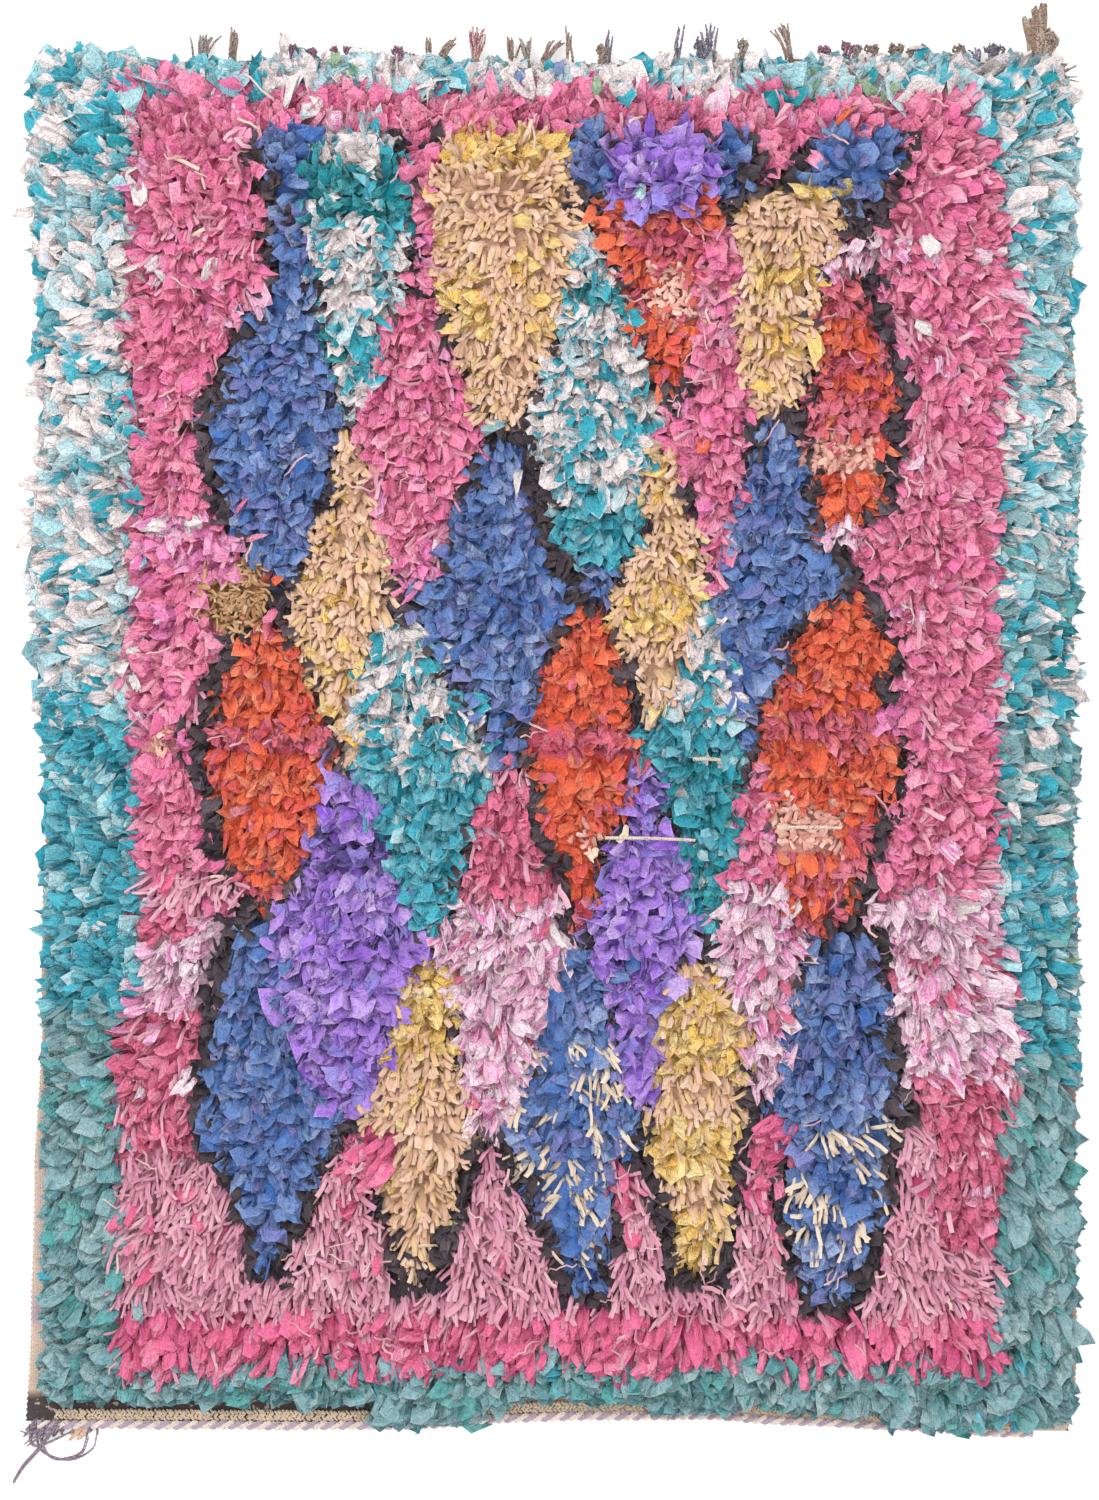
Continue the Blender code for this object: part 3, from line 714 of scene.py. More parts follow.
def reshuffled(chance: Array, number: int) -> Array:
    """Return another even draw from 0 to 1 for each one given, by its number."""
    stretch, golden = 997.0, 0.6180339
    return (chance * stretch + number * golden) % 1.0


@dataclass(frozen=True)
class Band:
    """A band across a lozenge or the border, from its top to its bottom, with the share that it fills."""

    top: float
    bottom: float
    kind: str
    share: float = 1.0
    left: float = -999.0
    right: float = 999.0


@dataclass(frozen=True)
class Lozenge:
    """One lozenge of the field. Each row of sides is (y, left side, right side), from the top down."""

    kind: str
    sides: tuple[tuple[float, float, float], ...]
    bands: tuple[Band, ...] = ()

    def depth(self, x: Array, y: Array) -> Array:
        """Measure how far inside the lozenge points lie.

        Args:
            x: Their places across the rug, in centimetres.
            y: Their places along it.

        Returns:
            Centimetres inside, less than 0 outside.
        """
        level, left, right = np.array(self.sides[::-1], float).T
        inward = np.minimum(x - np.interp(y, level, left), np.interp(y, level, right) - x) * 0.85
        return np.minimum(inward, np.minimum(level[-1] - y, y - level[0]) + 0.6)

    def lean(self, x: Array, y: Array) -> Array:
        """Measure how far points lie off the lozenge's middle line.

        Args:
            x: Their places across the rug, in centimetres.
            y: Their places along it.

        Returns:
            From -1 at its left side to 1 at its right.
        """
        level, left, right = np.array(self.sides[::-1], float).T
        left, right = np.interp(y, level, left), np.interp(y, level, right)
        return np.clip((2 * x - left - right) / np.maximum(right - left, 1.0), -1, 1)


@dataclass(frozen=True)
class Patch:
    """An oval patch of another rag: its middle, its half sizes, its kind and the share of knots it takes."""

    x: float
    y: float
    across: float
    up: float
    kind: str
    share: float = 1.0


@dataclass(frozen=True)
class Chart:
    """Which rag is knotted where, charted in centimetres."""

    lozenges: tuple[Lozenge, ...]
    patches: tuple[Patch, ...]
    left_border: Table
    right_border: Table
    upper_border: float = 84.3
    lower_border: float = -80.4
    outer_left: tuple[Band, ...] = ()
    outer_right: tuple[Band, ...] = ()
    outer_top: tuple[Band, ...] = ()
    inner_left: tuple[Band, ...] = ()
    inner_right: tuple[Band, ...] = ()
    outline_out: float = 1.7
    outline_in: float = 0.3
    outline_top: float = 79.0
    field_top: float = 79.6

    def kinds_at(self, x: Array, y: Array, chance: Array) -> Array:
        """Return the number of the kind of rag knotted at each place.

        Args:
            x: Places across the rug, in centimetres.
            y: Places along the rug, in centimetres.
            chance: A draw for each, the same for the rags of one knot, which all shares are taken from.

        Returns:
            Places in KINDS.
        """
        kinds = np.full(len(x), NUMBER["PINK"])
        left = x < 0
        self._lay_bands(kinds, self.inner_left, x, y, left, chance)
        self._lay_bands(kinds, self.inner_right, x, y, ~left, chance)
        best = np.full(len(x), -99.0)
        owner = np.full(len(x), -1)
        for i, lozenge in enumerate(self.lozenges):
            depth = lozenge.depth(x, y)
            owner[depth > best] = i
            best = np.maximum(best, depth)
        for i, lozenge in enumerate(self.lozenges):
            inside = (owner == i) & (best > self.outline_in) & (y < self.field_top)
            kinds[inside] = NUMBER[lozenge.kind]
            self._lay_bands(kinds, lozenge.bands, x, y, inside, chance)
        rim = (best <= self.outline_in) & (best > -self.outline_out) & (y < self.outline_top)
        kinds[rim] = NUMBER["CHARCOAL"]
        for number, patch in enumerate(self.patches):
            within = ((x - patch.x) / patch.across) ** 2 + ((y - patch.y) / patch.up) ** 2 < 1
            within &= reshuffled(chance, number) < patch.share
            kinds[within] = NUMBER[patch.kind]
        near = x < np.interp(y, *np.array(self.left_border, float).T)
        far = x > np.interp(y, *np.array(self.right_border, float).T)
        top, bottom = y > self.upper_border, y < self.lower_border
        self._lay_bands(kinds, self.outer_left, x, y, near, chance)
        self._lay_bands(kinds, self.outer_right, x, y, far, chance)
        self._lay_bands(kinds, self.outer_top, x, y, top, chance)
        kinds[bottom] = NUMBER["SEA"]
        return kinds

    def lean(self, x: Array, y: Array) -> Array:
        """Measure how far off the middle of their lozenge points lie.

        Args:
            x: Their places across the rug, in centimetres.
            y: Their places along it.

        Returns:
            From -1 to 1, and 0 outside all.
        """
        lean = np.zeros(len(x))
        best = np.full(len(x), 0.0)
        for lozenge in self.lozenges:
            depth = lozenge.depth(x, y)
            lean = np.where(depth > best, lozenge.lean(x, y), lean)
            best = np.maximum(best, depth)
        return lean

    @staticmethod
    def _lay_bands(
        kinds: Array, bands: tuple[Band, ...], x: Array, y: Array, where: Array,
        chance: Array,
    ) -> None:
        """Write bands over the kinds.

        Args:
            kinds: The kinds, which are changed.
            bands: The bands.
            x: Places across the rug, in centimetres.
            y: Places along it.
            where: Which places are open to them.
            chance: A draw for each place.
        """
        for number, band in enumerate(bands):
            hit = where & (y <= band.top) & (y > band.bottom) & (x > band.left) & (x < band.right)
            hit &= reshuffled(chance, number + BAND_DRAWS) < band.share
            kinds[hit] = NUMBER[band.kind]


FIELD = (
    Lozenge("BLUE", (
        (80.8, -38, -29.5), (76, -37.5, -30.5), (71, -35.6, -31.6), (60, -36, -31.4), (50, -40.8, -29.4),
        (41, -45.4, -27), (31, -42.4, -29.8), (20.5, -38.8, -34),
    )),
    Lozenge("ORANGE", (
        (14.6, -39.5, -35), (7.7, -43.2, -31.5), (-1.5, -45.4, -28), (-9.6, -43.2, -30.6),
        (-15, -42.6, -31.6), (-21, -39.6, -36),
    ), (Band(2.3, -1.6, "SALMON"), Band(-18.4, -22, "SALMON"))),
    Lozenge("BLUE", (
        (-24, -40.5, -35.4), (-31, -42.6, -33), (-38.8, -44.4, -32.6), (-48.5, -45.8, -27.6),
        (-54.5, -42.9, -30.2), (-60.6, -39.7, -32.8), (-67.6, -37.6, -35.6),
    )),
    Lozenge("SPLASHED", (
        (80.6, -30, -20.4), (74, -32.6, -18.4), (68, -33.6, -17.6), (57, -30.6, -20.6),
        (46, -28.6, -22.4), (40.5, -26.4, -24),
    ), (Band(75.6, 67.4, "TEAL", 0.9), Band(53.6, 49.8, "TEAL", 0.8, -31, -25))),
    Lozenge("SAND", (
        (39.4, -28.4, -23.4), (32.6, -28.2, -22.3), (27, -31.5, -21.4), (17.7, -34.6, -20.2),
        (8.5, -32, -22.6), (1, -28.4, -24.8), (-2.8, -28.2, -25.6),
    ), (Band(30, 20, "YELLOW", 0.5, -34, -30.5), Band(12, 2, "YELLOW", 0.3))),
    Lozenge("VIOLET", (
        (-4.2, -29.6, -22.5), (-11, -31.8, -21.5), (-16, -32.2, -20), (-22, -36.2, -18.4),
        (-26, -37.4, -15.8), (-33, -34.5, -19.6), (-41, -33.6, -20.2), (-48, -29.4, -24),
    ), (Band(-10.6, -16.4, "DARK_VIOLET", 0.85),)),
    Lozenge("PINK", (
        (81.2, -19.6, -14.4), (72, -18.2, -15.2), (62, -17.6, -15), (51, -23.2, -13.8), (40, -26.4, -9.2),
        (32, -24.2, -12.2), (25, -21.4, -14), (18.6, -19.8, -17.6),
    ), (Band(67, 60, "MAGENTA", 0.3), Band(24, 18, "MAGENTA", 0.5))),
    Lozenge("SPLASHED", (
        (15.6, -24.6, -17.6), (9, -27, -13.8), (4, -27, -10.6), (-2, -26, -7.4), (-6.3, -25.2, -8),
        (-11, -23.4, -10), (-16, -22.4, -11.6), (-24.4, -17.6, -14.4),
    ), (Band(-4, -26, "AQUA"), Band(0.4, -4, "AQUA", 0.45))),
    Lozenge("SAND", (
        (-27.6, -18.6, -12.6), (-36, -20.8, -12.8), (-43, -23.9, -12), (-49, -25.4, -8.2),
        (-54, -24.4, -10.9), (-59, -22.4, -12), (-64, -20.5, -14.4), (-69.2, -19.4, -16.4),
    ), (Band(-27, -41.5, "YELLOW"),)),
    Lozenge("SAND", (
        (79.6, -12.6, 1), (75, -15.8, 2.4), (68.5, -15.9, 4.2), (60.6, -15.6, 2.4), (52, -13.2, 0.2),
        (45, -12, -2.2), (41.6, -9.6, -4.4),
    ), (
        Band(80, 75.8, "YELLOW", 0.85), Band(60.5, 52.5, "YELLOW", 0.7, -16, -7.6),
        Band(59, 53, "YELLOW", 0.7, -2.4, 4), Band(63.5, 60, "YELLOW", 0.4, -5, 2),
    )),
    Lozenge("BLUE", (
        (38.6, -8.8, -5), (34, -10.6, -4), (28.8, -13.4, -3), (22.3, -14, 0.8), (17, -19.2, 3.8),
        (13, -16.4, -0.9), (9.3, -13.4, -1.8), (2.8, -9.6, -3.8), (-2.8, -7.6, -4.8),
    )),
    Lozenge("ROSE", (
        (-3.2, -7.7, -3.6), (-12.8, -10.9, -2.4), (-17.6, -11.8, 0.2), (-22.6, -14.8, 1.6),
        (-29, -15.4, 3.6), (-33.9, -13, 1), (-42, -11.4, -2.7), (-51, -12.4, -4.4),
    ), (Band(-21, -52, "PALE"),)),
    Lozenge("BLUE", (
        (-27, 1.4, 5.5), (-35.6, -2.6, 7.4), (-42, -3, 9), (-49.2, -7, 11.4), (-54, -5.2, 10.4),
        (-57.4, -3.8, 8.6), (-62.2, -1.8, 7.4), (-71.2, 2.8, 6.2),
    ), (Band(-39, -60, "CREAM", 0.34), Band(-60, -67, "CREAM", 0.25))),
    Lozenge("VIOLET", ((79.2, 9, 20.4), (76, 5.6, 22.6), (71, 7, 22.2), (68, 11, 19))),
    Lozenge("BLUE", ((80.8, 2, 6.6), (75, 2.2, 7.2), (70.4, 3.4, 7.6))),
    Lozenge("BLUE", ((79.6, 21.5, 25.6), (74, 21.5, 26), (69.6, 21.6, 25))),
    Lozenge("SALMON", (
        (70.6, 6.4, 21.6), (66, 5.2, 21.8), (60.6, 9, 20), (53.6, 9.6, 19.8), (50, 13, 18.2),
        (45.8, 13.4, 16.6),
    ), (
        Band(70.6, 61, "ORANGE", 0.75, 0, 12), Band(70.6, 66, "ORANGE", 0.6, 18, 23),
        Band(60.6, 53, "NUBS", 0.75, 13.5, 22), Band(53, 45, "ORANGE", 0.85),
        Band(60, 53.6, "ORANGE", 0.7, 9, 13),
    )),
    Lozenge("SPLASHED", (
        (66.8, 2.2, 5), (60.6, 1.6, 8.6), (54, 0.4, 10.2), (47.6, -1.2, 12.3), (44, -1.8, 14.2),
        (38.5, -2.9, 13.2), (32, -0.6, 12.2), (27, 0.8, 12.2), (23.6, 2.6, 9.4),
    ), (Band(31.6, 22, "AQUA"), Band(62, 56, "TEAL", 0.35))),
    Lozenge("BLUE", ((23.6, 3.6, 8.4), (18.6, 4.8, 7.4))),
    Lozenge("ORANGE", (
        (16.4, 3, 7.5), (7.7, -1.8, 9.6), (0.5, -4, 11.4), (-1.4, -4.3, 12), (-4.6, -2.6, 10.8),
        (-9.6, -1.9, 10), (-12.8, -0.4, 6.2), (-15, 2, 6.6), (-23.6, 2.4, 6.4),
    ), (Band(2, -2.6, "SALMON"), Band(-12.4, -15, "NUBS", 0.7, 3.4, 8), Band(-21.2, -24, "SALMON"))),
    Lozenge("VIOLET", (
        (-3.2, 9.8, 15), (-10.5, 9.4, 14.8), (-14.4, 7.2, 16.6), (-19.3, 7.4, 17.4), (-24.1, 4.2, 18.8),
        (-29, 5.6, 17), (-33.9, 7.4, 14.6), (-40, 8, 14), (-46.4, 10, 13.4),
    ), (Band(-3, -12, "DARK_VIOLET", 0.4),)),
    Lozenge("SAND", (
        (37.8, 12.6, 16.2), (32.5, 11.4, 16.8), (27.2, 12.4, 19.6), (22.3, 8.6, 20), (17, 6.8, 20.4),
        (9.3, 10.4, 17.4), (4.5, 11.8, 16.6), (-0.8, 12, 14.8),
    ), (Band(19.8, 14.2, "YELLOW", 0.85), Band(37, 20, "YELLOW", 0.15))),
    Lozenge("SPLASHED", (
        (17.6, 17.2, 23), (9.3, 16.8, 22.4), (6, 13.6, 24.4), (0, 10.6, 25.6), (-6.3, 14, 24.4),
        (-14.4, 16.2, 24.8), (-19.3, 16, 23.2), (-24.4, 18.4, 20.8),
    ), (Band(3.4, -25, "AQUA", 0.92), Band(-2, -25, "TEAL", 0.3))),
    Lozenge("YELLOW", (
        (-29, 17, 21), (-32.5, 14, 24.4), (-38, 13, 26), (-44.5, 12, 25.4), (-50.8, 12, 24.6),
        (-57, 13.6, 23.2), (-62.9, 15, 22.6), (-68.6, 16.6, 21.4),
    ), (
        Band(-28, -31.2, "SAND", 0.8), Band(-43.4, -49, "SAND", 0.9), Band(-57, -62, "SAND", 0.9),
    )),
    Lozenge("PINK", (
        (66.6, 19.4, 25.6), (56, 18.4, 24.6), (45.7, 17.2, 26.6), (40.5, 13.2, 25.8), (32, 17.6, 25),
        (27, 19.2, 25), (18.6, 21.4, 23.2),
    ), (Band(41, 34, "MAGENTA", 0.15),)),
    Lozenge("SAND", (
        (73.2, 30.4, 36.2), (69, 23.6, 37.8), (65, 22.8, 38), (60.6, 22.6, 35), (54, 24, 35),
        (47.6, 23, 33.6), (43, 26, 30.6),
    ), (
        Band(74, 70.4, "YELLOW"), Band(62.4, 58.4, "YELLOW", 0.75), Band(56, 50, "YELLOW", 0.7, 28, 37),
    )),
    Lozenge("BLUE", ((79, 34, 45.4), (74, 33.6, 45), (69.6, 36.8, 42.2))),
    Lozenge("BLUE", (
        (41, 26.7, 31.4), (34, 25.2, 33.4), (27.2, 21.6, 33.8), (21, 21, 38.4), (14.2, 21.6, 31),
        (9.3, 22, 29.2), (6, 23, 28), (-0.8, 23.6, 25.8),
    )),
    Lozenge("SALMON", (
        (65.4, 36.8, 40.2), (58, 34.6, 40.2), (54, 35.2, 42.6), (47, 34, 44.8), (43.4, 32.4, 44.8),
        (34.6, 33.4, 43.4), (30.5, 34.4, 43.2), (25.6, 34, 36.6),
    ), (
        Band(65.6, 60, "PALE", 0.6), Band(54.6, 50, "ORANGE", 0.8), Band(49.4, 45.6, "ORANGE", 0.6),
        Band(37.8, 34.2, "NUBS"), Band(34.2, 30, "ORANGE"), Band(30, 27, "ORANGE", 0.5),
    )),
    Lozenge("ORANGE", (
        (18.2, 34.8, 40.8), (12.5, 30.8, 44), (7.7, 29, 42.8), (3.8, 27.5, 42.8), (-2, 26, 45.2),
        (-8.5, 27.4, 43.6), (-15, 29, 40.8), (-20, 29.8, 40.2), (-24.6, 31, 37.6),
    ), (
        Band(3.8, -0.4, "SALMON"), Band(-8.3, -15, "NUBS", 1, 20, 38),
        Band(-8.3, -15, "SALMON", 0.7, 38, 50), Band(-15, -25, "SALMON", 0.6),
    )),
    Lozenge("PINK", (
        (-2, 26.6, 28.4), (-8, 24, 28.4), (-14, 23.4, 28.6), (-19.3, 21.4, 32.2), (-24, 21, 33.6),
        (-29, 21.4, 33), (-35.6, 24, 31), (-44.4, 25.2, 30.4),
    ), (Band(-18.4, -45, "PALE"),)),
    Lozenge("BLUE", (
        (-26.4, 33.8, 41.4), (-35.6, 30.8, 43.4), (-42, 29.8, 43.4), (-47.4, 27.6, 45.2), (-54, 30.4, 43),
        (-58, 29.3, 43), (-62.2, 31.2, 42.2), (-67.1, 31.9, 40.8), (-72.2, 34.2, 39),
    ), (Band(-49, -66, "CREAM", 0.22),)),
)

CHART = Chart(
    lozenges=FIELD,
    patches=(
        Patch(-41.6, 18.6, 4.2, 5.4, "TAN"), Patch(-37.2, 20.6, 1.2, 1.6, "ORANGE", 0.6),
        Patch(-51, -0.8, 2.8, 1.4, "NUBS"), Patch(-48.4, 28, 4.4, 1.5, "PALE"),
        Patch(-48, 23.8, 8, 3.2, "MAGENTA", 0.45), Patch(-50.6, 15.6, 2, 2, "MAGENTA", 0.9),
        Patch(-47, -19, 6.6, 2, "DUSTY", 0.85), Patch(-47.5, 67.5, 3.4, 2.2, "DUSTY", 0.7),
        Patch(45, 2.8, 3, 1.8, "MAGENTA", 0.8), Patch(57.8, 2.4, 2.4, 1.4, "MAGENTA", 0.8),
        Patch(43, 63.6, 3, 2.4, "PALE", 0.7), Patch(-41, 58, 3, 5, "PALE", 0.25),
        Patch(38, 27, 2.2, 2.4, "PALE", 0.7), Patch(45, 17.6, 3.4, 2, "PALE", 0.45),
        Patch(-23.5, -53.5, 3.4, 3.6, "HOT", 0.8), Patch(9, -57, 2.2, 3.2, "HOT", 0.7),
        Patch(29, -51, 3, 3.4, "HOT", 0.7), Patch(27.6, -56, 3.2, 3, "HOT", 0.5),
    ),
    left_border=(
        (-90, -56.6), (-36, -56.2), (-34, -54), (-20, -53.4), (4, -54.6), (40, -54.8), (90, -55),
    ),
    right_border=(
        (-90, 55.5), (-70, 57.6), (-44, 59.2), (-33, 60.8), (-25, 57.6), (-15, 57), (0, 58.2),
        (20, 57.4), (45, 58.6), (55, 60.6), (72, 58), (84, 55.4),
    ),
    outer_left=(
        Band(99, 4, "SPLASHED"), Band(99, 4, "ICE", 0.26), Band(99, 4, "WHITE", 0.08),
        Band(4, -34.6, "AQUA"), Band(-34.6, -99, "SEA"), Band(4, -34.6, "ICE", 0.08),
    ),
    outer_right=(
        Band(99, 0, "SPLASHED"), Band(99, 56, "ICE", 0.5), Band(56, 0, "ICE", 0.34),
        Band(56, 0, "TEAL", 0.07), Band(30, 0, "SEA", 0.14), Band(0, -40, "AQUA"),
        Band(0, -14, "SEA", 0.5), Band(-14, -40, "SEA", 0.15), Band(0, -40, "ICE", 0.22),
        Band(-40, -99, "SEA"),
    ),
    outer_top=(
        Band(99, 80, "SPLASHED"), Band(99, 80, "ICE", 0.4), Band(99, 80, "WHITE", 0.16),
        Band(99, 80, "SAGE", 0.03),
    ),
    inner_left=(
        Band(-17, -21, "DUSTY", 0.3), Band(-22.6, -25.6, "ROSE"), Band(-25.6, -35, "PALE"),
        Band(-22.6, -25.6, "PALE", 0.9, -46.5, -30), Band(-35, -53.6, "ROSE"), Band(-53.6, -74.2, "DUSTY"),
        Band(-74.2, -99, "HOT"),
    ),
    inner_right=(
        Band(-19, -43.6, "PALE"), Band(-27, -34, "ROSE", 0.35), Band(-43.6, -53, "ROSE", 1, 43),
        Band(-53, -66, "ROSE", 0.85, 50), Band(-50, -74.2, "DUSTY", 1, -9, 50),
        Band(-66, -74.2, "DUSTY", 0.8, 50), Band(-74.2, -99, "HOT"),
    ),
)


@dataclass(frozen=True)
class StrayRag:
    """A rag that stands out: its middle in centimetres, heading from +x in degrees and size in millimetres."""

    x: float
    y: float
    heading: float
    length: float
    width: float
    dye: float = 0.6


STRAYS = {
    "WHITE": (
        (-61.8, 88.6, 100, 36, 34), (-65.4, 85.4, 160, 36, 30), (-61, 72.4, 180, 50, 24),
        (-68.8, 68.6, 185, 34, 14), (-56.2, 63, 205, 36, 22), (-67.4, 45.6, 185, 26, 16),
        (-67.8, 33.6, 175, 30, 18), (-68.2, 26.2, 185, 30, 20), (-32, 88, 100, 40, 20),
        (-21.6, 88.2, 70, 38, 20), (-34.8, 91, 88, 34, 14, 0.4), (-53.6, 70.8, 280, 30, 20, 0.9),
        (-44.4, 61.4, 65, 34, 18, 0.8), (-50.6, 60.4, 125, 26, 9), (-51.3, 28.1, 170, 30, 18, 0.8),
        (-46.8, 28.6, 10, 26, 16, 0.8), (-54, 7.6, 300, 28, 12, 0.9), (49.1, 64.4, 300, 30, 24, 0.9),
        (58.4, 63.6, 20, 18, 10, 0.8), (48.6, 53.4, 175, 38, 17, 0.7), (47.4, 90.4, 20, 22, 6, 0.4),
        (62.1, -3.2, 15, 50, 12), (61.4, -5.8, 335, 38, 13), (60, -8.8, 282, 28, 13),
        (64.6, -10.2, 4, 46, 15), (66.8, -8.9, 12, 36, 12), (54.2, -21.8, 2, 36, 12),
        (31.6, -22.2, 36, 34, 12), (65, -31, 310, 24, 9), (0.4, -25.6, 285, 40, 11),
        (14.2, 88.4, 80, 34, 22), (26, 88.2, 70, 34, 20), (36.4, 87.4, 60, 40, 22),
        (60.6, 88.4, 50, 40, 22), (-4.7, 33.9, 250, 32, 11),
    ),
    "AQUA": (
        (-56.8, 88.6, 95, 32, 25, 0.9), (-65.6, 57.4, 190, 44, 26, 0.3), (-45.6, 88, 100, 30, 22, 0.8),
        (19, 87.6, 110, 32, 20, 0.8), (50.4, 86.6, 40, 44, 24, 0.7), (47, 86, 45, 44, 24),
        (67, 76.6, 10, 40, 28, 0.9),
    ),
    "TEAL": (
        (-57.8, 79, 175, 40, 24), (-59.4, 77.2, 185, 40, 22), (-56.4, 78, 160, 34, 20, 0.4),
        (-65.2, 75.6, 200, 34, 14), (-38, 86.8, 80, 28, 22, 0.4), (41.6, 86.4, 60, 26, 16, 0.4),
        (29.3, 83.6, 120, 32, 26, 0.5), (32.2, 83.6, 40, 30, 20, 0.5), (64.4, 86, 30, 32, 16, 0.4),
    ),
    "PINK": (
        (-52.4, 86.2, 105, 44, 20, 0.9), (-55.8, 86, 150, 34, 18, 0.9), (-50.4, 87, 80, 34, 20, 0.9),
        (-48.6, 85.4, 50, 30, 22, 0.8), (-40.3, 86.2, 78, 38, 15, 0.9), (-33.2, 85.2, 125, 32, 13, 0.8),
        (-26.3, 85, 92, 34, 15, 0.9), (-56, 7.8, 250, 28, 14, 0.9), (-40.6, 30.6, 62, 36, 6, 0.8),
        (-38.6, 26.6, 15, 36, 10, 0.9), (34.4, 75.8, 335, 34, 20, 0.9), (58.4, 66.6, 20, 44, 12, 0.8),
        (60.8, 66.8, 350, 30, 12, 0.9),
    ),
    "SAGE": (
        (-28.4, 88.2, 100, 32, 18), (-26.2, 87, 60, 28, 15, 0.3), (5.6, 85.2, 95, 30, 18),
        (43.9, 84.4, 55, 32, 19), (67.4, -28.6, 5, 26, 9, 0.1),
    ),
    "BLUE": (
        (-4.2, 86.4, 85, 26, 14, 0.9), (1, 87.4, 95, 26, 13, 0.9), (40.7, -35.9, 14, 42, 27, 0),
        (37, -28.8, 80, 32, 18, 0.1), (8.4, -30.6, 10, 40, 18, 0.5), (10.6, -29, 330, 24, 22, 0.2),
    ),
    "CREAM": (
        (-47.4, 75, 330, 44, 5), (-45.6, 73, 280, 34, 4), (-46.2, 66.2, 20, 34, 5),
        (-39.4, 80.4, 150, 36, 4), (9.4, -12.2, 250, 26, 9), (5.8, -15, 240, 20, 10),
    ),
    "DUSTY": (
        (-41.2, 78.2, 200, 30, 6, 0.9), (-40.4, 77.4, 170, 30, 6, 0.9), (-41.6, 79, 220, 28, 6, 0.9),
        (53.6, 52.4, 20, 40, 7, 0.9), (29, 80.6, 60, 36, 6, 0.9), (30.2, 81.6, 45, 34, 6, 0.9),
        (55.2, 74.6, 40, 30, 8, 0.9), (54, 73.6, 10, 30, 8, 0.8), (56.4, 73.2, 300, 28, 8, 0.8),
        (55.6, 56.6, 35, 34, 7, 0.9), (57.4, 55, 10, 34, 7, 0.9), (49.6, -9.2, 340, 40, 7, 0.9),
        (1.4, -20.4, 290, 34, 9, 0.9),
    ),
    "MAGENTA": (
        (-50.6, 25, 200, 26, 26, 0.7), (-43.4, 24.6, 8, 40, 26, 0.95), (-50.9, 16, 100, 26, 24),
        (-53.8, 23, 200, 28, 20, 0.4), (-47.6, 0.4, 190, 28, 22, 0.5), (-16, 24.4, 280, 24, 15, 0.5),
        (-15.2, 22, 330, 22, 14), (-18.4, 18.9, 230, 32, 8, 0.5),
    ),
    "ROSE": (
        (-36.4, 16, 250, 28, 13, 0.8), (55.6, -15, 22, 44, 8, 0.1), (57.2, -14.4, 350, 36, 9, 0.1),
    ),
    "ORANGE": (
        (-35.6, 21, 20, 18, 14, 0.4), (-35.8, 8.2, 80, 30, 9), (37.8, 81.2, 50, 34, 7),
        (38.8, -13.4, 300, 32, 11, 0.2), (30.8, -16.6, 262, 28, 10, 0.2), (6.8, 64.8, 230, 30, 22),
        (19.6, 38.3, 260, 22, 16),
    ),
    "PALE": (
        (39.4, 64.4, 70, 26, 16), (38.8, 62, 250, 24, 15), (59, -36.2, 335, 44, 27, 0.9),
        (57, -32.4, 340, 40, 22, 0.9), (-1.6, -28.4, 262, 38, 12, 0.2), (-10.4, -50.2, 235, 38, 14, 0.8),
        (0.2, -31.4, 290, 34, 12, 0.9), (-57.4, -60, 275, 28, 8, 0.7),
    ),
    "YELLOW": (
        (32.4, 71.6, 170, 30, 20), (35.4, 71, 330, 26, 16, 0.3), (34.6, 51.8, 300, 52, 20, 0.5),
        (25.6, 51.6, 240, 26, 18, 0.5), (0.1, 77.7, 8, 40, 20, 0.2), (-16.1, 70.7, 280, 32, 17, 0.3),
        (-3.8, 67.5, 0, 32, 20, 0.5), (-10, 57.6, 200, 26, 22, 0.2), (-1.2, 57.3, 40, 24, 18, 0.3),
    ),
    "HOT": (
        (59.4, -12.4, 80, 34, 4, 0.2), (-47.2, -58.6, 262, 32, 18, 0.9), (-46, -62.6, 280, 30, 14),
        (-52.6, -62.8, 120, 24, 18, 0.5), (-52, -78.6, 235, 44, 12, 0.9), (-54, -80.4, 210, 38, 12, 0.9),
        (-50.8, -82.4, 248, 52, 10, 0.8), (-46, -80.6, 275, 40, 18, 0.9), (-41.6, -81, 240, 42, 11, 0.9),
        (6, -79.6, 200, 34, 6, 0.9), (8.4, -80.2, 330, 32, 6, 0.9),
    ),
    "CHARCOAL": (
        (44.5, -41.7, 340, 26, 23, 0.7), (44.6, -47.6, 350, 26, 23, 0.8),
    ),
    "SALMON": (
        (37.4, -17.4, 10, 44, 7, 0.9),
    ),
    "SEA": (
        (67.8, -31.4, 350, 28, 11, 0.2), (67.6, -38.8, 0, 20, 7, 0.3), (-53.6, -73.6, 290, 42, 15, 0.9),
        (-7.7, 40.9, 205, 36, 16, 0.8),
    ),
    "RED": (
        (4.4, -22.6, 340, 20, 12), (3.6, -21.4, 300, 20, 10, 0.4),
    ),
    "VIOLET": (
        (8.6, -24, 170, 32, 30, 0.9), (13.4, -23.6, 30, 30, 22, 0.5), (15.9, -31.6, 320, 42, 34, 1),
        (16.4, -18.4, 300, 26, 24), (18.2, -26.4, 335, 34, 26, 0.9), (-17.2, -26, 25, 34, 26),
        (-30.6, -24.6, 250, 32, 30, 0.9), (-24.8, -20.8, 80, 30, 28, 0.9),
        (-29.6, -31.4, 200, 34, 28, 0.8), (12.7, 79.6, 88, 50, 13, 0.1), (17, 79.9, 70, 50, 18, 0.1),
        (10.6, 79.8, 110, 30, 16, 0.8),
    ),
    "ICE": (
        (11.4, 71, 265, 30, 18, 0.9), (13.1, 75, 250, 24, 10, 0.9),
    ),
}

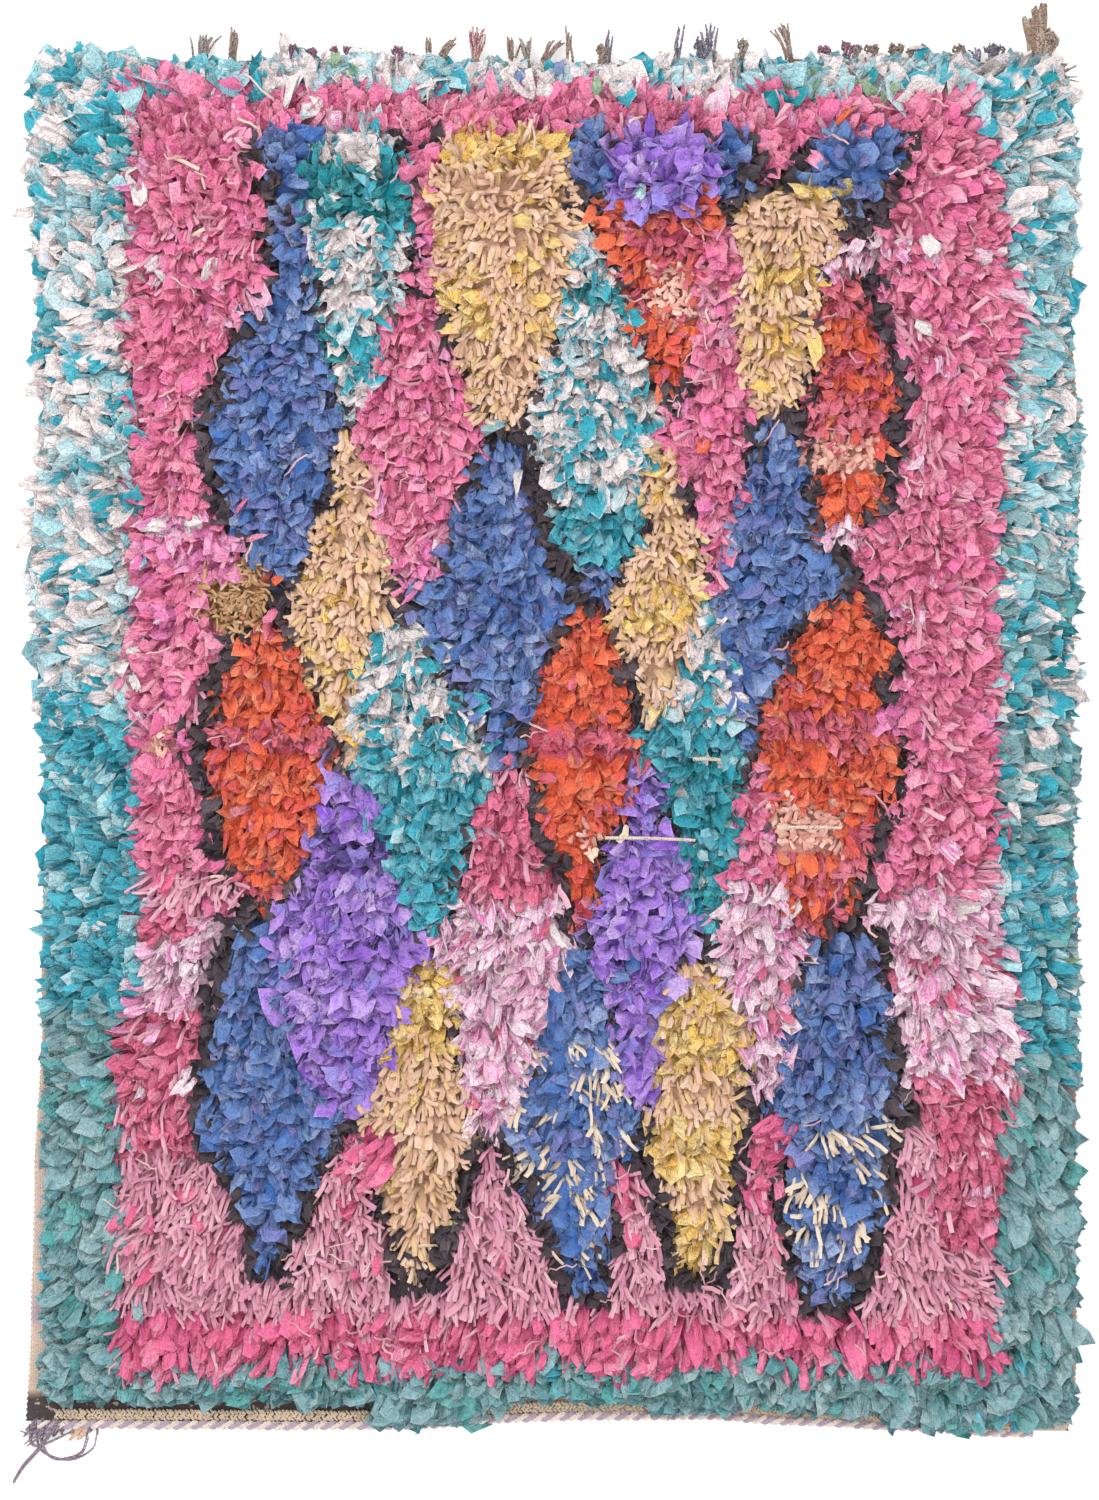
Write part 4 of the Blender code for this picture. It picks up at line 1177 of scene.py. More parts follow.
HOT_LOOPS = (
    ((6.2, -77.8), (7.8, -82), (8.6, -83.7), (9.4, -82.7), (9.1, -81.4), (7.9, -80.4)),
    ((-13.2, -76.9), (-12.9, -80.1), (-12.2, -81.4), (-11.2, -81.1), (-10.9, -80)),
    ((11.6, -79.6), (13.1, -81.1), (15.1, -80.9), (16.3, -80.1), (16.1, -78.4)),
    ((54.4, -77), (55, -81.6), (55.8, -83.6), (56.6, -82.4), (56, -79)),
)


# The ground's outline


class Outline:
    """The woven ground's four edges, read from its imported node."""

    # How far in from its outermost point an edge may run
    depth: float = 0.05

    def __init__(self, bin_size: float = 0.05) -> None:
        """Read the edges.

        Args:
            bin_size: How far apart they are sampled.
        """
        mesh = frame["nodes"]["ground_weave"].data
        points = np.zeros(len(mesh.vertices) * 3)
        mesh.vertices.foreach_get("co", points)
        self.points = points.reshape(-1, 3)
        self.low, self.high = self.points.min(axis=0), self.points.max(axis=0)
        self.sides = {(axis, side): self._edge(axis, side, bin_size) for axis in (0, 1) for side in (-1, 1)}

    def _edge(self, axis: int, side: int, bin_size: float) -> tuple[Array, Array]:
        """Read one edge.

        Args:
            axis: 0 for a long edge, 1 for an end.
            side: 1 for the far one, -1 for the near one.
            bin_size: How far apart it is sampled.

        Returns:
            Places along the edge, and how far out it is there.
        """
        out, along = self.points[:, axis] * side, self.points[:, 1 - axis]
        bins = np.rint(along / bin_size).astype(int)
        places, reach = [], []
        for number in np.unique(bins[out > out.max() - self.depth]):
            inside = (bins == number) & (out > out.max() - self.depth)
            best = np.argmax(np.where(inside, out, -9))
            places.append(along[best])
            reach.append(out[best] * side)
        order = np.argsort(places)
        return np.array(places)[order], np.array(reach)[order]

    def x(self, side: int, y: Array | float) -> Array:
        """Return a long edge's x at heights y."""
        return np.interp(y, *self.sides[0, side])

    def y(self, side: int, x: Array | float) -> Array:
        """Return an end's y at places x."""
        return np.interp(x, *self.sides[1, side])


# Meshes joined from arrays


@dataclass
class Heap:
    """Copies of templates that become one piece, with a tile of the bake map for each copy."""

    name: str
    points: list[Array] = field(default_factory=list)
    faces: list[Array] = field(default_factory=list)
    tiles: list[Array] = field(default_factory=list)
    rag: list[Array] = field(default_factory=list)
    luck: list[Array] = field(default_factory=list)
    count: int = 0
    copies: int = 0

    def add(self, template: Template, points: Array, rag: Array, luck: Array) -> None:
        """Add copies of a template.

        Args:
            template: What they are copies of.
            points: Their points, by copy, point and axis.
            rag: Each point's place across and along, and its dye.
            luck: Each copy's three draws.
        """
        copies, per_copy = points.shape[:2]
        shift = np.arange(copies)[:, None, None] * per_copy + self.count
        self.faces.append((template.faces[None] + shift).reshape(-1, 4))
        self.points.append(points.reshape(-1, 3))
        self.rag.append(rag.reshape(-1, 3))
        self.luck.append(np.repeat(luck, per_copy, axis=0))
        tile = np.arange(copies) + self.copies
        spots = np.broadcast_to(template.tile[None], (copies, *template.tile.shape))
        numbers = np.broadcast_to(tile[:, None, None, None], (*spots.shape[:3], 1))
        self.tiles.append(np.concatenate([spots, numbers], axis=3))
        self.count += copies * per_copy
        self.copies += copies

    def build(self, material: bpy.types.Material, crease: float) -> bpy.types.Object:
        """Join the copies into one object.

        Args:
            material: Its material.
            crease: The angle in degrees past which an edge stays sharp.

        Returns:
            The object.
        """
        points, faces = np.concatenate(self.points), np.concatenate(self.faces)
        mesh = bpy.data.meshes.new(self.name)
        mesh.vertices.add(len(points))
        mesh.vertices.foreach_set("co", points.astype(np.float32).ravel())
        mesh.loops.add(faces.size)
        mesh.loops.foreach_set("vertex_index", faces.astype(np.int32).ravel())
        mesh.polygons.add(len(faces))
        mesh.polygons.foreach_set("loop_start", np.arange(0, faces.size, 4, dtype=np.int32))
        mesh.update(calc_edges=True)
        tiles = np.concatenate([t.reshape(-1, 3) for t in self.tiles])
        side = math.ceil(math.sqrt(self.copies))
        spots = (tiles[:, :2] + np.stack([tiles[:, 2] % side, tiles[:, 2] // side], axis=1)) / side
        mesh.uv_layers.new(name=BAKE_MAP).uv.foreach_set("vector", spots.astype(np.float32).ravel())
        for name, rows in (("rag", self.rag), ("luck", self.luck)):
            layer = mesh.attributes.new(name, "FLOAT_VECTOR", "POINT")
            layer.data.foreach_set("vector", np.concatenate(rows).astype(np.float32).ravel())
        mesh.shade_smooth()
        mesh.set_sharp_from_angle(angle=math.radians(crease))
        mesh.materials.append(material)
        piece = bpy.data.objects.new(self.name, mesh)
        bpy.context.scene.collection.objects.link(piece)
        LOG.info("%s: %d copies, %d triangles", self.name, self.copies, 2 * len(faces))
        return piece


def smooth(low: float, high: float, value: Array) -> Array:
    """Return 0 below low and 1 above high, with a smooth rise between them."""
    share = np.clip((value - low) / (high - low), 0, 1)
    return share * share * (3 - 2 * share)


def hang(table: Table, places: Array) -> Array:
    """Return how far rags may reach past an edge, by places along it."""
    return np.interp(places, *np.array(table).T)


@dataclass
class Drift:
    """A smooth uneven field over the rug, from -1 to 1, as a sum of waves."""

    wavelength: float
    seed: int
    waves: int = 7

    def __call__(self, x: Array, y: Array) -> Array:
        """Sum the waves.

        Args:
            x: Places across the rug, in metres.
            y: Places along it.

        Returns:
            The field.
        """
        rng = np.random.default_rng(self.seed)
        total = np.zeros_like(x)
        for _ in range(self.waves):
            turn, phase = rng.uniform(0, math.tau, 2)
            size = self.wavelength * rng.uniform(0.6, 1.6)
            total += np.sin((x * math.cos(turn) + y * math.sin(turn)) * math.tau / size + phase)
        return np.clip(total / math.sqrt(self.waves) / 1.2, -1, 1)


# Bending rags


@dataclass
class Bends:
    """Rags of one template, each with its own sizes and bends. Angles are in radians."""

    root: Array
    heading: Array
    length: Array
    width: Array
    thick: Array
    tilt_root: Array
    tilt_tip: Array
    curl: Array
    roll: Array
    twist: Array
    crumple: Array
    fold: Array
    neck: Array
    tip: Array
    slant: Array
    ragged: Array

    def points(self, template: Template, rng: Draw) -> Array:
        """Bend copies of a template.

        Args:
            template: The flat rag.
            rng: The draw for crumples.

        Returns:
            Their points, by copy, point and axis.
        """
        count, rows, columns = len(self.heading), template.rows + 1, template.columns + 1
        share = template.shares[None]
        tilt = self.tilt_root[:, None] + (self.tilt_tip - self.tilt_root)[:, None] * share**0.8
        turn = self.heading[:, None] + self.curl[:, None] * share
        ahead = np.stack([np.sin(tilt) * np.cos(turn), np.sin(tilt) * np.sin(turn), np.cos(tilt)], axis=2)
        steps = (ahead[:, 1:] + ahead[:, :-1]) / 2 * (np.diff(share) * self.length[:, None])[:, :, None]
        spine = np.concatenate([self.root[:, None], self.root[:, None] + np.cumsum(steps, axis=1)], axis=1)
        side = np.stack([np.sin(turn), -np.cos(turn), np.zeros_like(turn)], axis=2)
        up = np.cross(side, ahead)
        roll = (self.roll[:, None] + self.twist[:, None] * share)[:, :, None]
        side, up = side * np.cos(roll) + up * np.sin(roll), up * np.cos(roll) - side * np.sin(roll)
        widening = self.neck[:, None] + (1 - self.neck)[:, None] * smooth(0.0, 0.4, share)
        widening *= 1 + (self.tip - 1)[:, None] * smooth(0.7, 1.0, share)
        half = self.width[:, None] / 2 * widening
        folds = rng.normal(0, 1, (count, 1, columns)) * 0.9 + rng.normal(0, 1, (count, rows, columns)) * 0.75
        lift = folds * (self.crumple * self.width)[:, None, None]
        gutter = (np.abs(np.linspace(-1, 1, columns)) - 0.5) if columns > 1 else np.zeros(1)
        lift += gutter * self.width[:, None, None] * (self.fold[:, None] * (1 - 0.8 * share))[:, :, None]
        shift = rng.normal(0, 0.07, (count, rows, columns)) * half[:, :, None]
        slide = rng.normal(0, 0.03, (count, rows, columns)) * self.length[:, None, None]
        slide[:, 0] = 0
        slide[:, -1] += rng.normal(0, 1, (count, columns)) * (self.ragged * self.length)[:, None]
        row, column = template.row, template.column
        across, rise = template.places[:, 0], template.places[:, 2]
        slide = slide[:, row, column] + (self.slant * self.length)[:, None] * across * share[0, row] ** 2
        if template.columns:
            sideways = across * half[:, row] + shift[:, row, column]
            height = lift[:, row, column] + rise * self.thick[:, None]
        else:
            wander = folds[:, row, column] * (self.crumple * self.width)[:, None] * 2
            sideways = across * half[:, row] + wander
            height = rise * self.thick[:, None] / 2 * widening[:, row]
        return (
            spine[:, row] + side[:, row] * sideways[:, :, None] + up[:, row] * height[:, :, None]
            + ahead[:, row] * slide[:, :, None]
        )


# The pile


@dataclass
class RagPile:
    """The rows of knotted rags, and the strays on top of them."""

    outline: Outline
    row_pitch: float = 0.019
    knot_pitch: float = 0.0145
    side_inset: float = 0.03
    upper_inset: float = 0.023
    lower_inset: float = 0.035
    root_height: float = 0.011
    most: int = 8
    reach: float = 0.015
    seed: int = 5
    jitter: tuple[float, float] = (0.007, 0.003)
    end_slip: float = 0.004
    broad_fewer: float = 0.22
    bare_lower: float = 0.013
    bare_left: float = 0.01
    softness: float = 0.0012
    soft_top: float = 0.034
    give: float = 0.006
    stray_seed: int = 29
    stray_tilt: float = 84.0
    stray_high: float = 0.032
    stray_drop: float = 0.34
    stray_heights: tuple[float, float] = (0.01, 0.025)
    loop_radius: float = 0.003
    crease_x: Table = (
        (-0.88, 0.024), (-0.65, 0.022), (-0.4, 0.01), (-0.02, 0.004), (0.25, -0.02), (0.45, -0.04),
        (0.88, -0.03),
    )
    left_hang: Table = (
        (-0.88, -0.022), (-0.56, -0.019), (-0.42, -0.012), (-0.33, 0.000), (0.88, 0.004),
    )
    right_hang: Table = (
        (-0.88, -0.002), (-0.6, -0.001), (-0.45, -0.003), (-0.27, -0.006), (-0.12, -0.007), (-0.06, 0.003),
        (0.2, 0.002), (0.27, -0.008), (0.46, -0.01), (0.53, -0.006), (0.7, -0.008), (0.76, -0.002),
        (0.88, -0.006),
    )
    upper_hang: Table = (
        (-0.7, 0.016), (-0.56, 0.012), (-0.52, -0.002), (-0.37, -0.006), (-0.32, 0.001), (-0.2, 0.001),
        (-0.13, -0.004), (0.000, -0.007), (0.3, -0.007), (0.42, -0.003), (0.52, 0.002), (0.7, 0.006),
    )
    lower_hang: Table = (
        (-0.7, -0.034), (-0.64, -0.033), (-0.24, -0.028), (-0.21, 0.002), (-0.11, -0.002), (-0.07, -0.021),
        (0.12, -0.02), (0.15, -0.004), (0.23, -0.006), (0.25, -0.017), (0.42, -0.014), (0.45, 0.002),
        (0.54, -0.002), (0.56, -0.015), (0.59, -0.012), (0.61, 0.006), (0.7, 0.008),
    )
    crease_y: Table = ((-0.68, -0.004), (-0.3, -0.002), (0.06, -0.012), (0.68, 0.004))

    def knots(self, rng: Draw) -> tuple[Array, Array]:
        """Place the knots row by row.

        Args:
            rng: The draw.

        Returns:
            Their places across and along the rug.
        """
        xs, ys = [], []
        low, high = self.outline.low[1] + self.lower_inset, self.outline.high[1] - self.upper_inset
        rows = round((high - low) / self.row_pitch)
        for number in range(rows + 1):
            y = low + (high - low) * number / rows
            left = self.outline.x(-1, y) + self.side_inset
            right = self.outline.x(1, y) - self.side_inset
            count = round((right - left) / self.knot_pitch)
            x = left + (right - left) * (np.arange(count + 1) + 0.25 * (number % 2 * 2 - 1)) / count
            wave = 0.004 * np.sin(x * 9 + number * 0.7)
            xs.append(x + rng.normal(0, 0.0016, len(x)))
            ys.append(y + wave + rng.normal(0, 0.0018, len(x)))
        return np.concatenate(xs), np.concatenate(ys)

    def parting(self, x: Array, y: Array) -> tuple[Array, Array, Array]:
        """Find the creases that part the pile.

        Args:
            x: Places across the rug.
            y: Places along it.

        Returns:
            The side of the long crease, how near it is, and how near the cross crease is.
        """
        middle = np.interp(y, *np.array(self.crease_x).T)
        off = x - middle
        strength = smooth(-0.7, -0.62, y) * (1 - smooth(0.38, 0.48, y))
        near = np.exp(-((off / 0.03) ** 2)) * strength
        level = y - np.interp(x, *np.array(self.crease_y).T)
        across = np.exp(-((level / 0.022) ** 2)) * (1 - smooth(0.12, 0.22, x))
        return np.where(off < 0, -1.0, 1.0), near, across * np.where(level < 0, -1.0, 1.0)

    def heading(self, x: Array, y: Array) -> tuple[Array, Array]:
        """Find which way rags lean.

        Args:
            x: Places across the rug.
            y: Places along it.

        Returns:
            Their headings, and how firmly they lean, up to 1.
        """
        side, near, level = self.parting(x, y)
        margin = smooth(0.48, 0.58, np.abs(x))
        out_x = np.sign(x) * margin * (0.6 + 2.2 * smooth(-0.5, -0.3, y)) + side * near * 0.75
        out_x += CHART.lean(x / CM, y / CM) * 0.8 + np.sign(x) * np.abs(x) * 0.3
        rows = 0.25 * np.sin(y * math.tau / 0.062 + 5.0 * Drift(0.25, 37)(x, y))
        down = 1.0 - 0.75 * margin * smooth(-0.5, -0.3, y)
        out_y = rows - down + 2.5 * smooth(0.64, 0.84, y) + level
        out_x, out_y = out_x + Drift(0.055, 41)(x, y) * 0.35, out_y + Drift(0.055, 43)(x, y) * 0.35
        return np.arctan2(out_y, out_x) + Drift(0.16, 31)(x, y) * 0.35, np.minimum(np.hypot(out_x, out_y), 1)

    @staticmethod
    def broad(x: Array, y: Array) -> Array:
        """Return from 0 to 1 how much broader the rags are cut, as in the upper border and its sides."""
        sides = np.maximum(smooth(0.545, 0.58, -x), 0.6 * smooth(0.575, 0.6, x)) * smooth(0.0, 0.06, y)
        return np.maximum(sides, 0.9 * smooth(0.815, 0.835, y))

    def kinds(self, x: Array, y: Array, chance: Array, rng: Draw) -> Array:
        """Look up the kind of each rag, with the odd rag of another kind mixed in.

        Args:
            x: Places across the rug.
            y: Places along it.
            chance: A draw for each, the same for the rags of one knot.
            rng: The draw.

        Returns:
            Places in KINDS.
        """
        stray_x, stray_y = rng.normal(0, 0.25, len(x)), rng.normal(0, 0.25, len(x))
        kinds = CHART.kinds_at(x / CM + stray_x, y / CM + stray_y, chance)
        taken = 1000
        draw = np.where(rng.random(len(x)) < 0.5, rng.random(len(x)), reshuffled(chance, MIXED_DRAW))
        for number, kind in enumerate(KINDS):
            start = 0.0
            for other, share in kind.value.mixed:
                hit = (kinds == number) & (draw >= start) & (draw < start + share)
                kinds = np.where(hit, NUMBER[other] + taken, kinds)
                start += share
        return kinds % taken

    def bends(
        self, kind: RagKind, x: Array, y: Array, heading: Array, pull: Array,
        rng: Draw,
    ) -> Bends:
        """Draw the sizes and bends of rags of one kind.

        Args:
            kind: The kind of rag.
            x: Their roots' places across the rug.
            y: Their roots' places along the rug.
            heading: Which way they lean.
            pull: How firmly, which those that stand at a parting do less.
            rng: The draw.

        Returns:
            Their bends.
        """
        count = len(x)
        strand = kind.cut.rolled
        edge = np.maximum(smooth(0.55, 0.62, np.abs(x)), smooth(0.8, 0.86, np.abs(y)))
        _, near, _ = self.parting(x, y)
        lumps = Drift(0.07, 53)(x, y)
        length = kind.length * rng.normal(1, 0.13, count).clip(0.6, 1.5)
        length *= (1 + 0.1 * lumps) * (1 - 0.25 * near) * (1 + 0.16 * edge)
        broad = self.broad(x, y)
        length *= 1 + 0.35 * broad
        wild = rng.lognormal(0, 0.2 if strand else 0.36, count).clip(0.45, 1.9)
        wild = (1 + 0.6 * broad + 0.25 * smooth(-0.79, -0.82, y)) * wild
        parted = 1 - pull
        return Bends(
            root=np.stack([x, y, np.full(count, self.root_height)], axis=1),
            heading=heading,
            length=np.minimum(length, self.trimmed(x, y, heading, rng)),
            width=kind.width * wild,
            thick=np.full(count, kind.thick) * (np.sqrt(wild) if strand else 1),
            tilt_root=(
                np.radians(rng.normal(kind.tilt_root, 12, count)) + edge * 0.3 + near * 0.25 - parted * 0.5
            ),
            tilt_tip=(
                np.radians(rng.normal(kind.tilt_tip, 10, count)) + edge * 0.1 + near * 0.2 - parted * 0.4
            ).clip(0.3, 2.2),
            curl=rng.normal(0, 1.3 if kind.cut is Cut.THREAD else 0.3 * kind.loose, count),
            roll=rng.normal(0, 0.3, count),
            twist=rng.normal(0, 0.5 * kind.loose, count),
            crumple=np.full(count, kind.crumple),
            fold=np.zeros(count) if strand else rng.normal(0.1, 0.3, count),
            neck=np.full(count, 0.9 if strand else kind.neck),
            tip=rng.uniform(0.85, 1.08, count),
            slant=np.zeros(count) if strand else rng.normal(0, 0.14 * kind.loose, count),
            ragged=np.full(count, 0.09 if kind.cut is Cut.FRAYED else 0.015),
        )

    def rest(self, points: Array) -> Array:
        """Lift points that would sink into the ground or the floor, and keep their order.

        Args:
            points: The points.

        Returns:
            The points at rest.
        """
        x, y, z = points[..., 0], points[..., 1], points[..., 2]
        inside = (x > self.outline.x(-1, y)) & (x < self.outline.x(1, y))
        inside &= (y > self.outline.y(-1, x)) & (y < self.outline.y(1, x))
        floor = np.where(inside, GROUND_TOP, FLOOR_TOP)
        above = z - floor
        lifted = floor + (above + np.sqrt(above**2 + self.softness**2)) / 2
        top, give = self.soft_top, self.give
        lifted = np.where(lifted > top, top + give - give * np.exp(-(lifted - top) / give), lifted)
        return np.stack([x, y, lifted], axis=-1)

    def trimmed(self, x: Array, y: Array, heading: Array, rng: Draw) -> Array:
        """Return how long rags may be, in metres, to hang no further past the ground's edges than real ones.

        Args:
            x: Their roots' places across the rug.
            y: Their roots' places along the rug.
            heading: Which way they lean.
            rng: The draw.

        Returns:
            Their longest lengths.
        """
        slack = rng.normal(0, 0.0035, len(x)) + np.where(rng.random(len(x)) < 0.05, 0.005, 0.0)
        room = np.full(len(x), 9.0)
        spaces = (
            (self.outline.x(1, y) - x + hang(self.right_hang, y), np.cos(heading)),
            (x - self.outline.x(-1, y) + hang(self.left_hang, y), -np.cos(heading)),
            (self.outline.y(1, x) - y + hang(self.upper_hang, x), np.sin(heading)),
            (y - self.outline.y(-1, x) + hang(self.lower_hang, x), -np.sin(heading)),
        )
        for space, share in spaces:
            room = np.minimum(room, np.maximum(space + slack, 0.01) / np.maximum(share * 0.88, 0.05))
        return room

    def lay_strays(self, heaps: dict[str, Heap], templates: dict[Cut, Template]) -> None:
        """Lay the rags that stand out on top of the pile.

        Args:
            heaps: Each kind's heap.
            templates: The cut rags.
        """
        rng = np.random.default_rng(self.stray_seed)
        tilt = math.radians(self.stray_tilt)
        for name, stray in ((name, StrayRag(*row)) for name, rows in STRAYS.items() for row in rows):
            kind = Kind[name].value
            turn, length = math.radians(stray.heading), stray.length / 1000
            ahead = np.array([math.cos(turn), math.sin(turn)])
            root = np.array([stray.x, stray.y]) * CM - ahead * length / 2
            one = np.ones(1)
            tip_x, tip_y = np.array([stray.x, stray.y]) * CM + ahead * length / 2
            over = abs(tip_x) - abs(self.outline.x(math.copysign(1, tip_x), tip_y)) + 0.004
            droop = 25.0 * np.clip(max(over, tip_y - self.outline.y(1, tip_x)), 0.0, 0.03)
            height = float(np.clip(self.stray_high - self.stray_drop * length, *self.stray_heights))
            bends = Bends(
                root=np.array([[*root, height]]), heading=one * turn, length=one * length,
                width=one * stray.width / 1000, thick=one * kind.thick, tilt_root=one * (tilt - 0.75),
                tilt_tip=one * (tilt + rng.normal(0.14, 0.08) + droop), curl=rng.normal(0, 0.25, 1),
                roll=rng.normal(0, 0.2, 1), twist=rng.normal(0, 0.3, 1), crumple=one * kind.crumple * 0.8,
                fold=rng.normal(0, 0.12, 1), neck=one * 0.7, tip=rng.uniform(0.8, 1.05, 1),
                slant=rng.normal(0, 0.15, 1) * (not kind.cut.rolled), ragged=one * 0.03,
            )
            self.heap_up(heaps[name], templates[kind.cut], bends, one * stray.dye, rng)
        for corners in HOT_LOOPS:
            lifts = 2.4 + 0.9 * np.sin(np.linspace(0.2, 2.6, len(corners)))
            path = thread_path(np.column_stack([corners, lifts]) * CM, 22)
            Spinner().spin(
                heaps["HOT"], path, self.loop_radius, rng, plies=1, pitch=0.01, tip=0.9, flat=0.5
            )

    def heap_up(
        self, heap: Heap, template: Template, bends: Bends, dye: Array, rng: Draw
    ) -> None:
        """Bend rags and add them to their heap.

        Args:
            heap: The heap.
            template: What they are bent from.
            bends: Their sizes and bends.
            dye: How faded each is.
            rng: The draw.
        """
        points = self.rest(bends.points(template, rng))
        spots = np.broadcast_to(template.places[None], points.shape).copy()
        spots[:, :, 2] = dye[:, None]
        heap.add(template, points, spots, rng.random((len(dye), 3)))

    def build(self) -> list[bpy.types.Object]:
        """Knot the pile.

        Returns:
            A piece for each cloth.
        """
        rng = np.random.default_rng(self.seed)
        templates = {
            Cut.FLAKE: cut_flake(3, 2), Cut.STRIP: cut_flake(2, 3), Cut.FRAYED: cut_flake(4, 3),
            Cut.STRAND: roll_strand(4, 4), Cut.THREAD: roll_strand(4, 7),
        }
        heaps = {kind.name: Heap(kind.value.piece) for kind in KINDS}
        knot_x, knot_y = self.knots(rng)
        luck = np.repeat(rng.random(len(knot_x)), self.most)
        order = np.tile(np.arange(self.most), len(knot_x))
        knot_x, knot_y = np.repeat(knot_x, self.most), np.repeat(knot_y, self.most)
        x = knot_x + rng.normal(0, self.jitter[0], len(knot_x))
        y = knot_y + rng.normal(0, self.jitter[1], len(knot_x))
        low, high = self.outline.low[1] + self.lower_inset, self.outline.high[1] - self.upper_inset
        y = np.clip(y, low - self.end_slip, high + self.end_slip)
        inset = self.side_inset - 0.005
        x = np.clip(x, self.outline.x(-1, y) + inset, self.outline.x(1, y) - inset)
        sway = rng.normal(0, 1, len(x))
        heading, pull = self.heading(x, y)
        guess = heading + sway * 0.5
        shown_x, shown_y = x + np.cos(guess) * self.reach, y + np.sin(guess) * self.reach
        kinds = self.kinds(shown_x, shown_y, np.repeat(rng.random(len(knot_x) // self.most), self.most), rng)
        wanted = np.array([kind.value.per_knot for kind in KINDS])[kinds]
        wanted = wanted * (1 - self.broad_fewer * self.broad(x, y))
        kept = order < np.floor(wanted + luck)
        kept &= y > self.outline.y(-1, x) - hang(self.lower_hang, x) + self.bare_lower
        kept &= x > self.outline.x(-1, y) - hang(self.left_hang, y) + self.bare_left
        tint = Drift(0.11, 71)(shown_x, shown_y) * 0.5 + Drift(0.04, 73)(shown_x, shown_y * 1.8) * 0.3
        for number, entry in enumerate(KINDS):
            kind = entry.value
            own = np.flatnonzero((kinds == number) & kept)
            calm = 1 - 0.5 * smooth(0.545, 0.58, np.abs(x[own])) - 0.3 * smooth(0.1, -0.3, y[own])
            lean = heading[own] + sway[own] * math.radians(kind.spread) * (calm + 2.5 * (1 - pull[own]))
            dye = np.clip(kind.dye + kind.dye_spread * (tint[own] + rng.normal(0, 0.7, len(own))), 0, 1)
            bends = self.bends(kind, x[own], y[own], lean, pull[own], rng)
            self.heap_up(heaps[entry.name], templates[kind.cut], bends, dye, rng)
        self.lay_strays(heaps, templates)
        pieces = []
        for entry in KINDS:
            if heaps[entry.name].copies:
                crease = YARN_CREASE if entry.value.cut.rolled else CLOTH_CREASE
                piece = heaps[entry.name].build(entry.value.finish.material(), crease)
                pieces.append(dress(piece, ("rag_pile",)))
        return pieces


@dataclass
class PileBed:
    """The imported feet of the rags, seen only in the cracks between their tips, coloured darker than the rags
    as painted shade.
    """

    outline: Outline
    columns: int = 72
    rows: int = 94
    inset: float = 0.016
    lower_inset: float = 0.03
    left_inset: float = 0.014
    right_inset: float = 0.004
    low: float = 0.0034
    high: float = 0.0165
    rim_rise: float = 0.0024
    slope: float = 0.03
    seed: int = 17

    def build(self) -> bpy.types.Object:
        """Lay the bed, with the chart's colours, darkened as painted shade for the cracks, in an attribute.

        Returns:
            The bed.
        """
        rng = np.random.default_rng(self.seed)
        template = cut_flake(self.columns, self.rows, 1.0)
        across, along, lift = template.places.T
        y_low, y_high = self.outline.low[1] + self.inset + self.lower_inset, self.outline.high[1] - self.inset
        y = y_low + (y_high - y_low) * along
        left = self.outline.x(-1, y) + self.inset + self.left_inset
        right = self.outline.x(1, y) - self.inset - self.right_inset
        x = (left + right) / 2 + across * (right - left) / 2
        rim = (np.abs(across) > 0.999) | (along < 0.001) | (along > 0.999)
        lumps = 0.5 + 0.5 * Drift(0.03, 91)(x, y)
        edge = np.minimum(np.minimum(x - left, right - x), np.minimum(y - y_low, y_high - y))
        bumps = 0.45 + 0.55 * lumps
        rise = self.high - self.low - self.rim_rise
        dome = self.low + self.rim_rise + rise * bumps * smooth(0.0, self.slope, edge)
        z = np.where(lift < -0.5, self.low, dome)
        z[rim] = self.low + self.rim_rise / 2
        kinds = CHART.kinds_at(x / CM, y / CM, rng.random(len(x)))
        kinds[kinds == NUMBER["CREAM"]] = NUMBER["BLUE"]
        finishes = [kind.value.finish for kind in KINDS]
        # Painted shade: each kind's colour is taken between its deep and body tones, a little darker than the
        # rags on top.
        deep = np.array([np.add(tone(f.deep)[:3], tone(f.body)[:3]) * 0.48 for f in finishes])
        heap = Heap("pile_bed")
        heap.add(template, np.stack([x, y, z], axis=1)[None], deep[kinds][None], rng.random((1, 3)))
        sheet = NodeSheet("rag_feet")
        feet = sheet.noise(sheet.place(), 200.0)
        # Painted shade: the bed's colour is darkened in patches by up to a fifth towards black.
        colour = sheet.mix(feet.step(0.3, 0.6) * 0.2 + 0.8, (0.03, 0.02, 0.03, 1.0), sheet.attribute("rag"))
        normal = sheet.bump(feet, 0.006)
        piece = heap.build(sheet.finished(colour, 0.9, normal, Specular_IOR_Level=0.1), BED_CREASE)
        return dress(piece, ("rag_pile",))


def dress(piece: bpy.types.Object, nodes: tuple[str, ...]) -> bpy.types.Object:
    """Fix a finished piece to the rug.

    Args:
        piece: The piece.
        nodes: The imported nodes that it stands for.

    Returns:
        The piece.
    """
    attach(piece, BODY)
    if nodes:
        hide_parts(*nodes)
    return piece


# Yarn, cord and ground


